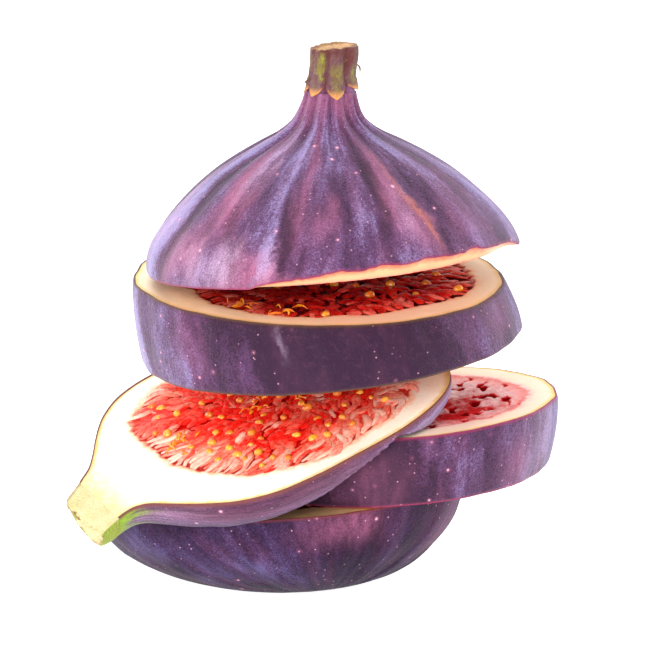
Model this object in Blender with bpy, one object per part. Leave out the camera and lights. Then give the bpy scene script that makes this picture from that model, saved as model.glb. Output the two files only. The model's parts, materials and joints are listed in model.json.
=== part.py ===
"""A fresh fig, cut crosswise into four and stacked again round a fig half cut lengthwise.

Metres, +Z up. The origin is the middle of the flat spot the base piece rests on, X runs to the
right of the stack and Y away from the side where the pieces stand open. From the bottom up:
base, lower slice, half (leaning), upper slice, cap with its stalk and the scales at its foot.
Every length below is in millimetres and is turned into metres when a mesh is made.
"""

import math
from dataclasses import dataclass

import bmesh
import bpy
import numpy as np
from mathutils import Matrix

MM = 0.001
AROUND = 88  # points round a crosswise piece

# ---- The cuts: a point on each cut face, and how much it climbs per mm of X and of Y ----


@dataclass(frozen=True)
class Cut:
    """A plane cut: z = z0 + climb_x (x - x0) + climb_y (y - y0)."""

    x0: float
    y0: float
    z0: float
    climb_x: float
    climb_y: float

    def height(self, x, y):
        """Height of the cut over the point x, y."""
        return self.z0 + self.climb_x * (x - self.x0) + self.climb_y * (y - self.y0)


BASE_TOP = Cut(-1.4, 0.0, 13.3, 0.05, -0.055)
LOWER_BOTTOM = Cut(17.3, -3.0, 15.75, 0.077, -0.014)
LOWER_TOP = Cut(17.4, -3.0, 26.1, 0.077, -0.013)
UPPER_BOTTOM = Cut(7.5, -8.0, 36.35, 0.097, 0.035)
UPPER_TOP = Cut(5.4, -8.0, 46.2, -0.011, 0.049)
CAP_BOTTOM = Cut(7.65, -13.0, 50.05, 0.083, -0.058)

# ---- Radii of the crosswise pieces ----

LOWER_RADIUS_TOP, LOWER_RADIUS_BOTTOM = 23.6, 22.3
UPPER_RADIUS_TOP, UPPER_RADIUS_BOTTOM = 27.3, 27.8
WALL_BULGE = 0.45  # how far a slice's wall swells between its two cuts

# height, radius of the base piece, from its flat spot up to its cut
BASE_PROFILE = (
    (0.0, 13.4),
    (0.35, 15.7),
    (1.1, 18.3),
    (2.4, 21.0),
    (4.0, 23.3),
    (6.0, 25.4),
    (8.2, 27.1),
    (10.4, 28.1),
    (12.4, 28.6),
    (16.0, 28.8),
)
BASE_AXIS_X = -1.4
FLAT_CENTRE_X = 0.0

# height, x of the axis, radius of the cap, from its cut up to its neck
CAP_PROFILE = (
    (47.0, 7.65, 27.0),
    (49.7, 7.70, 27.25),
    (52.0, 7.85, 26.9),
    (54.2, 8.00, 25.9),
    (56.6, 8.10, 24.2),
    (58.9, 8.05, 22.1),
    (61.2, 7.95, 19.6),
    (63.2, 7.85, 17.0),
    (65.2, 7.70, 13.8),
    (67.0, 7.50, 10.5),
    (68.6, 7.20, 7.4),
    (70.0, 7.05, 5.6),
    (71.4, 6.95, 4.6),
    (72.8, 7.00, 4.0),
    (73.8, 7.05, 3.6),
)
CAP_AXIS_Y = -13.0
LIP_RISE, LIP_WIDTH = 1.25, 2.2  # the cut breaks upwards at the skin on the front right

# height, x of the axis, radius of the stalk
STALK_PROFILE = (
    (74.2, 7.10, 3.40),
    (75.6, 7.25, 3.52),
    (77.2, 7.35, 3.45),
    (79.0, 7.55, 3.50),
    (80.9, 7.65, 3.50),
)
STALK_TOP_TILT = 0.12

# scales round the foot of the stalk
SCALE_COUNT = 6
SCALE_INNER, SCALE_THICK = 3.95, 0.4
SCALE_FOOT, SCALE_DROP, SCALE_TOP = 73.9, 1.5, 75.6

# ---- The half: its frame in space, its outline on the cut face, and its depth ----

HALF_CENTRE = np.array([-3.0, -17.0, 26.45])
HALF_LONG = np.array([0.8573, 0.3949, 0.3306])  # from the stalk end to the far end
HALF_WIDE = np.array([0.4640, -0.8706, -0.1634])  # across it, towards the front
HALF_UP = np.array([-0.2233, -0.2935, 0.9295])  # out of its cut face

# along, back edge, front edge, depth below the cut face
HALF_STATIONS = (
    (-28.0, -6.0, 7.0, 4.9),
    (-26.0, -7.7, 6.2, 5.0),
    (-24.0, -9.6, 5.9, 5.3),
    (-22.0, -12.5, 6.7, 5.9),
    (-20.0, -15.8, 8.9, 6.7),
    (-18.0, -18.8, 11.2, 7.4),
    (-16.0, -21.2, 13.3, 8.0),
    (-13.0, -23.7, 16.0, 8.7),
    (-10.0, -25.1, 17.7, 9.1),
    (-6.5, -25.9, 18.9, 9.4),
    (-3.0, -26.0, 19.3, 9.4),
    (1.0, -25.7, 19.4, 9.3),
    (5.5, -24.9, 19.1, 9.0),
    (10.0, -23.5, 18.8, 8.6),
    (14.5, -21.3, 18.2, 8.0),
    (19.5, -17.8, 16.7, 6.8),
    (23.0, -14.0, 14.8, 5.4),
    (25.3, -10.0, 12.6, 4.2),
    (26.8, -5.8, 9.8, 3.0),
    (27.6, -2.0, 6.6, 1.9),
    (27.9, 0.9, 3.6, 0.9),
)
HALF_STALK_STATIONS = (
    (-31.1, -3.1, 8.3, 3.3),
    (-30.6, -3.8, 8.2, 3.9),
    (-29.5, -4.9, 7.6, 4.5),
    (-28.35, -5.8, 7.1, 4.8),
)
SECTION_POWER = 2.4  # 2 is an ellipse, more is boxier
SECTION_POINTS = 18
REST_GAP = 0.75  # air under the half where it lies on another piece


# ---------------------------------------------------------------- materials


def material(name, colour, roughness, metallic=0.0):
    """A Principled material of one colour."""
    made = bpy.data.materials.new(name)
    made.use_nodes = True
    shader = made.node_tree.nodes["Principled BSDF"]
    shader.inputs["Base Color"].default_value = (*colour, 1.0)
    shader.inputs["Roughness"].default_value = roughness
    shader.inputs["Metallic"].default_value = metallic
    made.diffuse_color = (*colour, 1.0)
    return made


# ---------------------------------------------------------------- meshes


@dataclass(frozen=True)
class Place:
    """Where a piece's own origin sits, in millimetres, and which way its own axes point."""

    origin: np.ndarray
    axes: np.ndarray = None

    def own(self, points):
        """World points in the piece's own frame."""
        moved = np.asarray(points, float) - self.origin
        return moved if self.axes is None else moved @ self.axes

    def matrix(self):
        """The piece's world matrix, in metres."""
        turn = Matrix() if self.axes is None else Matrix(self.axes.tolist()).to_4x4()
        return Matrix.Translation(self.origin * MM) @ turn


def body_of_rings(name, rings, place, finish, foot=None, head=None, looped=False):
    """One closed body from rings of equal length: bridged in order, then closed at both ends.

    With looped the last ring is bridged to the first, as on a collar, and no end is closed.
    """
    rings = [place.own(ring) * MM for ring in rings]
    work = bmesh.new()
    loops = [[work.verts.new(point) for point in ring] for ring in rings]
    pairs = list(zip(loops, loops[1:] + loops[:1] if looped else loops[1:]))
    for low, high in pairs:
        for i in range(len(low)):
            j = (i + 1) % len(low)
            work.faces.new((low[i], low[j], high[j], high[i]))
    if not looped:
        for loop, ring, middle, turned in ((loops[0], rings[0], foot, 1), (loops[-1], rings[-1], head, -1)):
            spot = ring.mean(axis=0) if middle is None else place.own(middle) * MM
            centre = work.verts.new(spot)
            for i in range(len(loop)):
                ends = (loop[(i + 1) % len(loop)], loop[i])[::turned]
                work.faces.new((*ends, centre))
    mesh = bpy.data.meshes.new(name)
    work.to_mesh(mesh)
    work.free()
    mesh.materials.append(finish)
    mesh.shade_smooth()
    mesh.set_sharp_from_angle(angle=math.radians(35))
    made = bpy.data.objects.new(name, mesh)
    made.matrix_world = place.matrix()
    bpy.context.scene.collection.objects.link(made)
    return made


def hang(child, parent):
    """Parents a piece without moving it."""
    child.parent = parent
    child.matrix_parent_inverse = parent.matrix_world.inverted()


def around(count=AROUND):
    """Angles once round, counter-clockwise."""
    return np.arange(count) * 2 * math.pi / count


def folds(angle, depth, lobes=11, phase=0.0):
    """How far the lengthwise folds of the skin move it in or out, as a share of its radius."""
    coarse = np.cos(lobes * angle + phase + 0.7 * np.sin(2 * angle))
    fine = np.cos((2 * lobes + 3) * angle + 1.7 + phase)
    return depth * (0.7 * coarse + 0.3 * fine)


def profile_at(profile, heights):
    """Columns of a profile, interpolated at these heights."""
    table = np.array(profile, float)
    return [np.interp(heights, table[:, 0], table[:, k]) for k in range(1, table.shape[1])]


# ---------------------------------------------------------------- crosswise pieces


def slice_piece(name, low_cut, high_cut, low_radius, high_radius, phase, finish):
    """A crosswise slice: two cut faces and a slightly swollen ribbed wall."""
    angle = around()
    rings = []
    for share in (0.0, 0.12, 0.32, 0.5, 0.68, 0.88, 1.0):
        swell = WALL_BULGE * (1 - (2 * share - 1) ** 2)
        radius = low_radius + (high_radius - low_radius) * share + swell
        radius = radius * (1 + folds(angle, 0.006, phase=phase))
        x = low_cut.x0 + (high_cut.x0 - low_cut.x0) * share + radius * np.cos(angle)
        y = low_cut.y0 + (high_cut.y0 - low_cut.y0) * share + radius * np.sin(angle)
        z = low_cut.height(x, y) * (1 - share) + high_cut.height(x, y) * share
        rings.append(np.stack([x, y, z], 1))
    foot = np.array([low_cut.x0, low_cut.y0, low_cut.z0])
    head = np.array([high_cut.x0, high_cut.y0, high_cut.z0])
    return body_of_rings(name, rings, Place(foot), finish, foot, head)


def base_piece(finish):
    """The blossom end: a bowl-shaped wall on a small flat spot, cut level-ish on top."""
    angle = around()
    shares = (0.0, 0.03, 0.08, 0.17, 0.28, 0.4, 0.54, 0.69, 0.85, 1.0)
    rim = BASE_TOP.height(BASE_AXIS_X + 28.7 * np.cos(angle), 28.7 * np.sin(angle))
    rings = []
    for share in shares:
        z = rim * share
        (radius,) = profile_at(BASE_PROFILE, z)
        depth = 0.006 + 0.012 * (1 - share) * min(1, 8 * share)
        radius = radius * (1 + folds(angle, depth, phase=0.4))
        axis = FLAT_CENTRE_X + (BASE_AXIS_X - FLAT_CENTRE_X) * min(1.0, share * 3)
        rings.append(np.stack([axis + radius * np.cos(angle), radius * np.sin(angle), z], 1))
    rings[-1][:, 2] = BASE_TOP.height(rings[-1][:, 0], rings[-1][:, 1])
    foot = np.array([FLAT_CENTRE_X, 0.0, 0.0])
    head = np.array([BASE_TOP.x0, BASE_TOP.y0, BASE_TOP.z0])
    return body_of_rings("base", rings, Place(foot), finish, foot, head)


def lip(angle):
    """How far the skin edge of the cap's cut rises at each angle: only on the front right."""
    from_front = (np.degrees(angle) - 300 + 180) % 360 - 180
    return LIP_RISE * np.clip(1 - (from_front / 52.0) ** 2, 0, 1) ** 0.6


def cap_piece(finish):
    """The stalk end of the fig: a dome whose folds deepen and gather into a narrow neck."""
    angle = around()
    top = CAP_PROFILE[-1][0]
    shares = (0.0, 0.1, 0.2, 0.3, 0.4, 0.49, 0.57, 0.64, 0.71, 0.77, 0.82, 0.87, 0.91, 0.95, 1.0)
    x_cut = CAP_BOTTOM.x0 + 27.2 * np.cos(angle)
    y_cut = CAP_AXIS_Y + 27.2 * np.sin(angle)
    foot = CAP_BOTTOM.height(x_cut, y_cut) + lip(angle)
    rings = []
    for share in shares:
        z = foot + (top - foot) * share
        axis, radius = profile_at(CAP_PROFILE, z)
        depth = 0.005 + 0.075 * math.exp(-(((share - 0.86) / 0.17) ** 2))
        radius = radius * (1 + folds(angle, depth, phase=1.1))
        x, y = axis + radius * np.cos(angle), CAP_AXIS_Y + radius * np.sin(angle)
        rings.append(np.stack([x, y, z], 1))
    # the flesh just inside the skin, level with the cut
    skin = rings[0]
    middle = np.array([CAP_BOTTOM.x0, CAP_AXIS_Y, CAP_BOTTOM.z0])
    inner = middle + (skin - middle) * (1 - LIP_WIDTH / 27.2)
    inner[:, 2] = CAP_BOTTOM.height(inner[:, 0], inner[:, 1])
    skin[:, 2] = CAP_BOTTOM.height(skin[:, 0], skin[:, 1]) + lip(angle)
    return body_of_rings("cap", [inner, *rings], Place(middle), finish, middle)


def stalk_foot():
    """Middle of the stalk where it leaves the neck."""
    return np.array([STALK_PROFILE[0][1], CAP_AXIS_Y, STALK_PROFILE[0][0]])


def stalk_piece(finish):
    """The cut stalk: a short, slightly fluted post with a sloping cut end."""
    angle = around(32)
    rings = []
    for z, axis, radius in STALK_PROFILE:
        radius = radius * (1 + 0.035 * np.cos(6 * angle + 0.5))
        x, y = axis + radius * np.cos(angle), CAP_AXIS_Y + radius * np.sin(angle)
        share = (z - STALK_PROFILE[0][0]) / (STALK_PROFILE[-1][0] - STALK_PROFILE[0][0])
        slope = STALK_TOP_TILT * share
        rings.append(np.stack([x, y, z + slope * (y - CAP_AXIS_Y)], 1))
    return body_of_rings("cap_stalk", rings, Place(stalk_foot()), finish)


def scales_piece(finish):
    """The ring of dried scales where the stalk meets the neck, its lower edge cut into points."""
    angle = around(48)
    pointed = np.abs(np.sin(SCALE_COUNT / 2 * angle + 0.3)) ** 0.7
    low = SCALE_FOOT + SCALE_DROP * (1 - pointed)
    outer, level = SCALE_INNER + SCALE_THICK, np.ones_like(angle)
    section = (
        (SCALE_INNER + 0.15, low),
        (outer + 0.15, low + 0.05),
        (outer, (low + SCALE_TOP) / 2),
        (SCALE_INNER + 0.3, SCALE_TOP * level),
        (SCALE_INNER, (SCALE_TOP - 0.1) * level),
    )
    foot = stalk_foot()
    rings = [
        np.stack([foot[0] + radius * np.cos(angle), foot[1] + radius * np.sin(angle), height], 1)
        for radius, height in section
    ]
    return body_of_rings("cap_bracts", rings, Place(foot), finish, looped=True)


# ---------------------------------------------------------------- the lengthwise half


def room_below(point, furthest):
    """How deep a point under the half's cut face can go before it meets the piece below."""
    below = (
        (LOWER_TOP, LOWER_RADIUS_TOP, (LOWER_TOP.x0, LOWER_TOP.y0)),
        (BASE_TOP, 28.8, (BASE_AXIS_X, 0.0)),
    )
    deep = 0.0
    while deep < furthest:
        spot = point - (deep + 0.05) * HALF_UP
        for cut, radius, (x, y) in below:
            outside = math.hypot(spot[0] - x, spot[1] - y) - radius
            ramp = 1.3 * max(0.0, outside - 1.1)
            if spot[2] < cut.height(spot[0], spot[1]) + REST_GAP - ramp:
                return deep
        deep += 0.05
    return furthest


def half_section(along, back, front, depth):
    """One cross-section of the half: flat on top, a rounded belly cut short where it rests."""
    middle, reach = (back + front) / 2, (front - back) / 2
    loop = []
    for i in range(1, 6):  # the cut face, from front to back
        wide = front + (back - front) * i / 6
        loop.append(HALF_CENTRE + along * HALF_LONG + wide * HALF_WIDE)
    for i in range(SECTION_POINTS + 1):  # the belly, from back to front
        turn = math.pi * i / SECTION_POINTS
        across = -math.copysign(abs(math.cos(turn)) ** (2 / SECTION_POWER), math.cos(turn))
        sink = depth * abs(math.sin(turn)) ** (2 / SECTION_POWER)
        flat = HALF_CENTRE + along * HALF_LONG + (middle + reach * across) * HALF_WIDE
        loop.append(flat - min(sink, room_below(flat, sink)) * HALF_UP)
    return np.array(loop[::-1])


def half_piece(name, stations, steps, finish):
    """A run of the half between its first and last station."""
    table = np.array(stations, float)
    where = np.linspace(0, len(table) - 1, steps)
    rows = [np.interp(where, np.arange(len(table)), table[:, k]) for k in range(4)]
    start = HALF_CENTRE + table[0, 0] * HALF_LONG
    frame = np.stack([HALF_LONG, -HALF_WIDE, HALF_UP], 1)
    sections = [half_section(*row) for row in zip(*rows)]
    return body_of_rings(name, sections, Place(start, frame), finish)


# ---------------------------------------------------------------- assembly


def main():
    for old in list(bpy.data.objects):
        bpy.data.objects.remove(old, do_unlink=True)
    cap_skin = material("cap_skin", (0.135, 0.055, 0.125), 0.46)
    upper_skin = material("upper_skin", (0.085, 0.045, 0.115), 0.5)
    lower_skin = material("lower_skin", (0.115, 0.06, 0.14), 0.48)
    base_skin = material("base_skin", (0.105, 0.06, 0.15), 0.5)
    flesh = material("half_flesh", (0.86, 0.74, 0.52), 0.42)
    green = material("stalk_green", (0.27, 0.24, 0.12), 0.6)
    tan = material("scale_tan", (0.62, 0.36, 0.17), 0.65)
    neck = material("neck_green", (0.45, 0.47, 0.13), 0.5)
    base = base_piece(base_skin)
    lower = slice_piece(
        "lower_slice", LOWER_BOTTOM, LOWER_TOP, LOWER_RADIUS_BOTTOM, LOWER_RADIUS_TOP, 2.0, lower_skin
    )
    upper = slice_piece(
        "upper_slice", UPPER_BOTTOM, UPPER_TOP, UPPER_RADIUS_BOTTOM, UPPER_RADIUS_TOP, 0.9, upper_skin
    )
    half = half_piece("half", HALF_STATIONS, 38, flesh)
    half_stalk = half_piece("half_stalk", HALF_STALK_STATIONS, 5, neck)
    cap = cap_piece(cap_skin)
    stalk = stalk_piece(green)
    scales = scales_piece(tan)
    bpy.context.view_layer.update()
    stack = bpy.data.objects.new("fig_stack", None)
    bpy.context.scene.collection.objects.link(stack)
    for child, parent in (
        (base, stack),
        (lower, stack),
        (half, stack),
        (upper, stack),
        (cap, stack),
        (half_stalk, half),
        (stalk, cap),
        (scales, stalk),
    ):
        hang(child, parent)


main()
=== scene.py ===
"""A fresh fig, cut crosswise into four and stacked again round a lengthwise fig half.

Each piece is a thin skin shell round a body of flesh. The cut faces have a bed of pulp with
strands and seeds lying in it. Lengths are in millimetres in the row frame (X to the right of the
stack, Y away from its open side, Z up) and become metres when a mesh is made.
"""

import logging
import math
from dataclasses import dataclass, field
from enum import Enum

import bpy
import numpy as np
from mathutils import Matrix, Vector
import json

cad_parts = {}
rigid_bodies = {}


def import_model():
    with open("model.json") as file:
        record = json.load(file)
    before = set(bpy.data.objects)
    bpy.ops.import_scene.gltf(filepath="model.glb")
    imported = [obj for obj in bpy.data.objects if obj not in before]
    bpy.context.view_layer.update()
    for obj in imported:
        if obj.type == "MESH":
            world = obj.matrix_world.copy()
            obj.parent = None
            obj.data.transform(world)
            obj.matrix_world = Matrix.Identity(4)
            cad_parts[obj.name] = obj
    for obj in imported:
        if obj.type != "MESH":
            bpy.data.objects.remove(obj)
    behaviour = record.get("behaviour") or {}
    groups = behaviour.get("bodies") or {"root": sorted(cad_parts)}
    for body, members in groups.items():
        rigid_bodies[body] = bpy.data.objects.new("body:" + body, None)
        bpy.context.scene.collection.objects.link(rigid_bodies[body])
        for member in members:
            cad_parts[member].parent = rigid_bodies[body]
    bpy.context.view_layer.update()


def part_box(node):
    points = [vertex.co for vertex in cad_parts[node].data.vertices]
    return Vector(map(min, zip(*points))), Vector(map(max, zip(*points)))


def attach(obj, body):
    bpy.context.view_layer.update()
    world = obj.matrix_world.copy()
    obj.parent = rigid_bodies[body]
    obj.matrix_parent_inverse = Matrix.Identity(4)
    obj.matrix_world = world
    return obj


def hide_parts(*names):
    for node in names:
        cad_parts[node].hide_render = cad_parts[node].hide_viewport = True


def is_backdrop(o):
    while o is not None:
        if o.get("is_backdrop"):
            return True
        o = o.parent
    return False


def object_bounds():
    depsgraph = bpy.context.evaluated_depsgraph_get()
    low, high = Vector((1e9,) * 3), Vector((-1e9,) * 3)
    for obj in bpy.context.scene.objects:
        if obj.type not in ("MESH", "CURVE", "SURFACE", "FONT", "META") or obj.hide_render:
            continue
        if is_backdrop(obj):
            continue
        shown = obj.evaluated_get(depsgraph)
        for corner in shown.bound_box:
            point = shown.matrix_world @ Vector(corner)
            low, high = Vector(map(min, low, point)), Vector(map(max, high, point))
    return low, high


LOG = logging.getLogger("fig")
MM = 0.001
SKIN = 0.3  # thickness of the skin shell
AROUND = 480  # points round a crosswise skin
INNER_RINGS = 48  # rings on the inside of a skin shell
PATTERN = 27.0  # radius at which patterns are laid round a skin
CLOSE_RINGS = 46  # rings of a cut face that lie close together, from the skin into the pulp
CLOSE_REACH = 6.0  # how far past the flesh they go
BED_START = 6.4  # where the wider ones start
DIP_WIDTH = 0.9  # over how much of its edge the pulp sinks below the flesh
AXIS_RING = 0.4  # radius of the innermost ring of a cut face
Colour = tuple[float, float, float, float]
Spot = tuple[float, float, float]
Pair = tuple[float, float]
Array = np.ndarray
Socket = bpy.types.NodeSocket
Material = bpy.types.Material
Marks = dict[str, Array]
Looks = tuple[Material, ...]


def paint(red: float, green: float, blue: float) -> Colour:
    """A colour given as 0 to 255 display values, in linear light."""
    linear = [((v / 255 + 0.055) / 1.055) ** 2.4 if v > 10 else v / 3295 for v in (red, green, blue)]
    return (linear[0], linear[1], linear[2], 1.0)


# ---- shapes


def glide(table: Array, where: Array) -> Array:
    """Smooth curve through the rows of a table.

    Args:
        table: Rows whose first column rises and whose other columns are followed.
        where: Values of the first column to read the curve at.

    Returns:
        The other columns at those values, one row each.
    """
    x, y = table[:, 0], table[:, 1:]
    gap = np.diff(x)[:, None]
    slope = np.diff(y, axis=0) / gap
    inner = (slope[:-1] * gap[1:] + slope[1:] * gap[:-1]) / (gap[1:] + gap[:-1])
    tangent = np.vstack([slope[:1], inner, slope[-1:]])
    i = np.clip(np.searchsorted(x, where, side="right") - 1, 0, len(x) - 2)
    h = gap[i]
    t = held((where - x[i])[:, None] / h)
    return (
        y[i] * (1 + 2 * t) * (1 - t) ** 2
        + tangent[i] * h * t * (1 - t) ** 2
        + y[i + 1] * t * t * (3 - 2 * t)
        + tangent[i + 1] * h * t * t * (t - 1)
    )


def closed_curve(corners: Array, count: int) -> Array:
    """Smooth closed curve through corners, as count evenly stepped points."""
    wrapped = np.vstack([corners[-2:], corners, corners[:3]])
    table = np.column_stack([np.arange(len(wrapped)) - 2.0, wrapped])
    return glide(table, np.arange(count) * len(corners) / count)


def turns(count: int) -> Array:
    """Evenly stepped angles once round."""
    return np.arange(count) * 2 * math.pi / count


def off_turn(angle: Array, at: float) -> Array:
    """Degrees from a turn, the short way round."""
    return (np.degrees(angle) - at + 180) % 360 - 180


def held(values: Array) -> Array:
    """Values held between 0 and 1."""
    return np.clip(values, 0, 1)


def unit(vectors: Array) -> Array:
    """Vectors made one long."""
    return vectors / np.maximum(np.linalg.norm(vectors, axis=-1, keepdims=True), 1e-6)


def bump(off: Array, wide: float) -> Array:
    """A soft bump: 1 where off is 0, falling away over this width."""
    return np.exp(-((off / wide) ** 2))


def laid_round(angle: Array, height: Array, radius: float = PATTERN) -> Array:
    """Places at one radius round an upright axis, to read unevenness and patterns at."""
    x, y = radius * np.cos(angle), radius * np.sin(angle)
    return np.stack(np.broadcast_arrays(x, y, height), -1)


def spread(shape: tuple[int, ...], **marks: Array) -> Marks:
    """Marks filled out to one value for each point of a grid."""
    return {name: np.broadcast_to(value, shape).ravel() for name, value in marks.items()}


class Lumps:
    """Smooth random unevenness in space, the same on every run."""

    CELLS = 24  # steps of the lattice before it repeats

    def __init__(self, seed: int) -> None:
        """Draws the random lattice."""
        self.lattice = np.random.default_rng(seed).random((self.CELLS,) * 3)

    def at(self, points: Array, size: float) -> Array:
        """Reads the unevenness.

        Args:
            points: Where to read it, in millimetres.
            size: Size of one lump.

        Returns:
            A value from -1 to 1 for each point.
        """
        place = np.asarray(points, float) / size
        cell = np.floor(place).astype(int)
        part = place - cell
        part = part * part * (3 - 2 * part)
        total = np.zeros(place.shape[:-1])
        for corner in np.ndindex(2, 2, 2):
            share = np.prod(np.where(corner, part, 1 - part), axis=-1)
            spot = (cell + np.array(corner)) % self.CELLS
            total += share * self.lattice[spot[..., 0], spot[..., 1], spot[..., 2]]
        return 2 * total - 1


def folds(angle: Array, depth: float | Array, phase: float) -> Array:
    """How far the lengthwise folds move the skin in or out, as a share of its radius."""
    coarse = np.cos(11 * angle + phase + 0.7 * np.sin(2 * angle))
    return depth * (0.7 * coarse + 0.3 * np.cos(25 * angle + 1.7 + phase))


def crest(angle: Array, phase: float) -> Array:
    """Where a fold stands proud.

    Args:
        angle: Angle round the piece.
        phase: The turn that its folds have.

    Returns:
        1 on a broad crest, falling to 0 in a narrow furrow.
    """
    coarse = 0.5 - 0.5 * np.cos(11 * angle + phase + 0.7 * np.sin(2 * angle))
    fine = 0.5 + 0.5 * np.cos(25 * angle + 1.7 + phase)
    return held(1 - 0.85 * coarse**2.5 - 0.15 * (1 - fine))


def gap_inside(spots: Array, outline: Array) -> tuple[Array, Array]:
    """How far spots lie inside a closed outline.

    Args:
        spots: Points in the plane of the outline.
        outline: Corners of the outline in order.

    Returns:
        The distance to the outline, positive inside it, and the nearest point on it.
    """
    ends = np.roll(outline, -1, axis=0)
    run = ends - outline
    gaps, nearest = [], []
    for some in np.array_split(spots, max(1, len(spots) // 3000)):
        off = some[:, None] - outline
        share = held((off * run).sum(-1) / np.maximum((run * run).sum(-1), 1e-9))
        away = off - share[..., None] * run
        far = np.sqrt((away**2).sum(-1))
        pick = far.argmin(1)
        row = np.arange(len(some))
        level = (outline[:, 1] > some[:, 1:]) != (ends[:, 1] > some[:, 1:])
        rise = np.where(np.abs(run[:, 1]) < 1e-9, 1e-9, run[:, 1])
        cross = some[:, :1] < run[:, 0] * (some[:, 1:] - outline[:, 1]) / rise + outline[:, 0]
        inside = (level & cross).sum(1) % 2 == 1
        gaps.append(np.where(inside, far[row, pick], -far[row, pick]))
        nearest.append(some - away[row, pick])
    return np.concatenate(gaps), np.vstack(nearest)


@dataclass
class Body:
    """Points, faces and marks of one mesh, in millimetres."""

    points: Array
    faces: list[list[int]]
    marks: Marks = field(default_factory=dict)


def loft(rings: Array, looped: bool = False) -> Body:
    """Bridges rings of equal length in order.

    Args:
        rings: Array of rings, of points round each ring, of coordinates.
        looped: Whether the last ring joins the first, as in a band. If not, both ends are closed.

    Returns:
        The closed body. A closed end adds one point, first the foot's and then the head's.
    """
    count, around = rings.shape[:2]
    points = rings.reshape(-1, 3)
    here = np.arange(around)
    after = (here + 1) % around
    rows = count if looped else count - 1
    low = np.arange(rows)[:, None] * around
    high = (np.arange(rows)[:, None] + 1) % count * around
    quads = np.stack([low + here, low + after, high + after, high + here], -1).reshape(-1, 4).tolist()
    if not looped:
        foot, head, last = count * around, count * around + 1, (count - 1) * around
        points = np.vstack([points, rings[0].mean(0), rings[-1].mean(0)])
        quads += [[int(after[i]), int(here[i]), foot] for i in range(around)]
        quads += [[int(last + here[i]), int(last + after[i]), head] for i in range(around)]
    return Body(points, quads)


def piece(name: str, body: Body, finish: Material, slot: str, *nodes: str) -> bpy.types.Object:
    """Makes one visible piece of the fig.

    Args:
        name: Its name.
        body: Its mesh, in millimetres in the row frame.
        finish: Its material.
        slot: Not used.
        nodes: CAD nodes it stands for.

    Returns:
        The piece, riding on the root body.
    """
    mesh = bpy.data.meshes.new(name)
    mesh.from_pydata((body.points * MM).tolist(), [], body.faces)
    for mark, values in body.marks.items():
        values = np.asarray(values, np.float32)
        kind, key = ("FLOAT_VECTOR", "vector") if values.ndim == 2 else ("FLOAT", "value")
        mesh.attributes.new(mark, kind, "POINT").data.foreach_set(key, values.ravel())
    mesh.materials.append(finish)
    mesh.shade_smooth()
    mesh.set_sharp_from_angle(angle=math.radians(50))
    made = bpy.data.objects.new(name, mesh)
    bpy.context.scene.collection.objects.link(made)
    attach(made, "root")
    if nodes:
        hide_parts(*nodes)
    LOG.info("%s: %d points, %d faces", name, len(body.points), len(body.faces))
    return made


def middle_of(node: str) -> Array:
    """Middle of a CAD node's box, in millimetres."""
    low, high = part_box(node)
    return np.array((low + high) / 2) / MM


# ---- finishes


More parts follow.
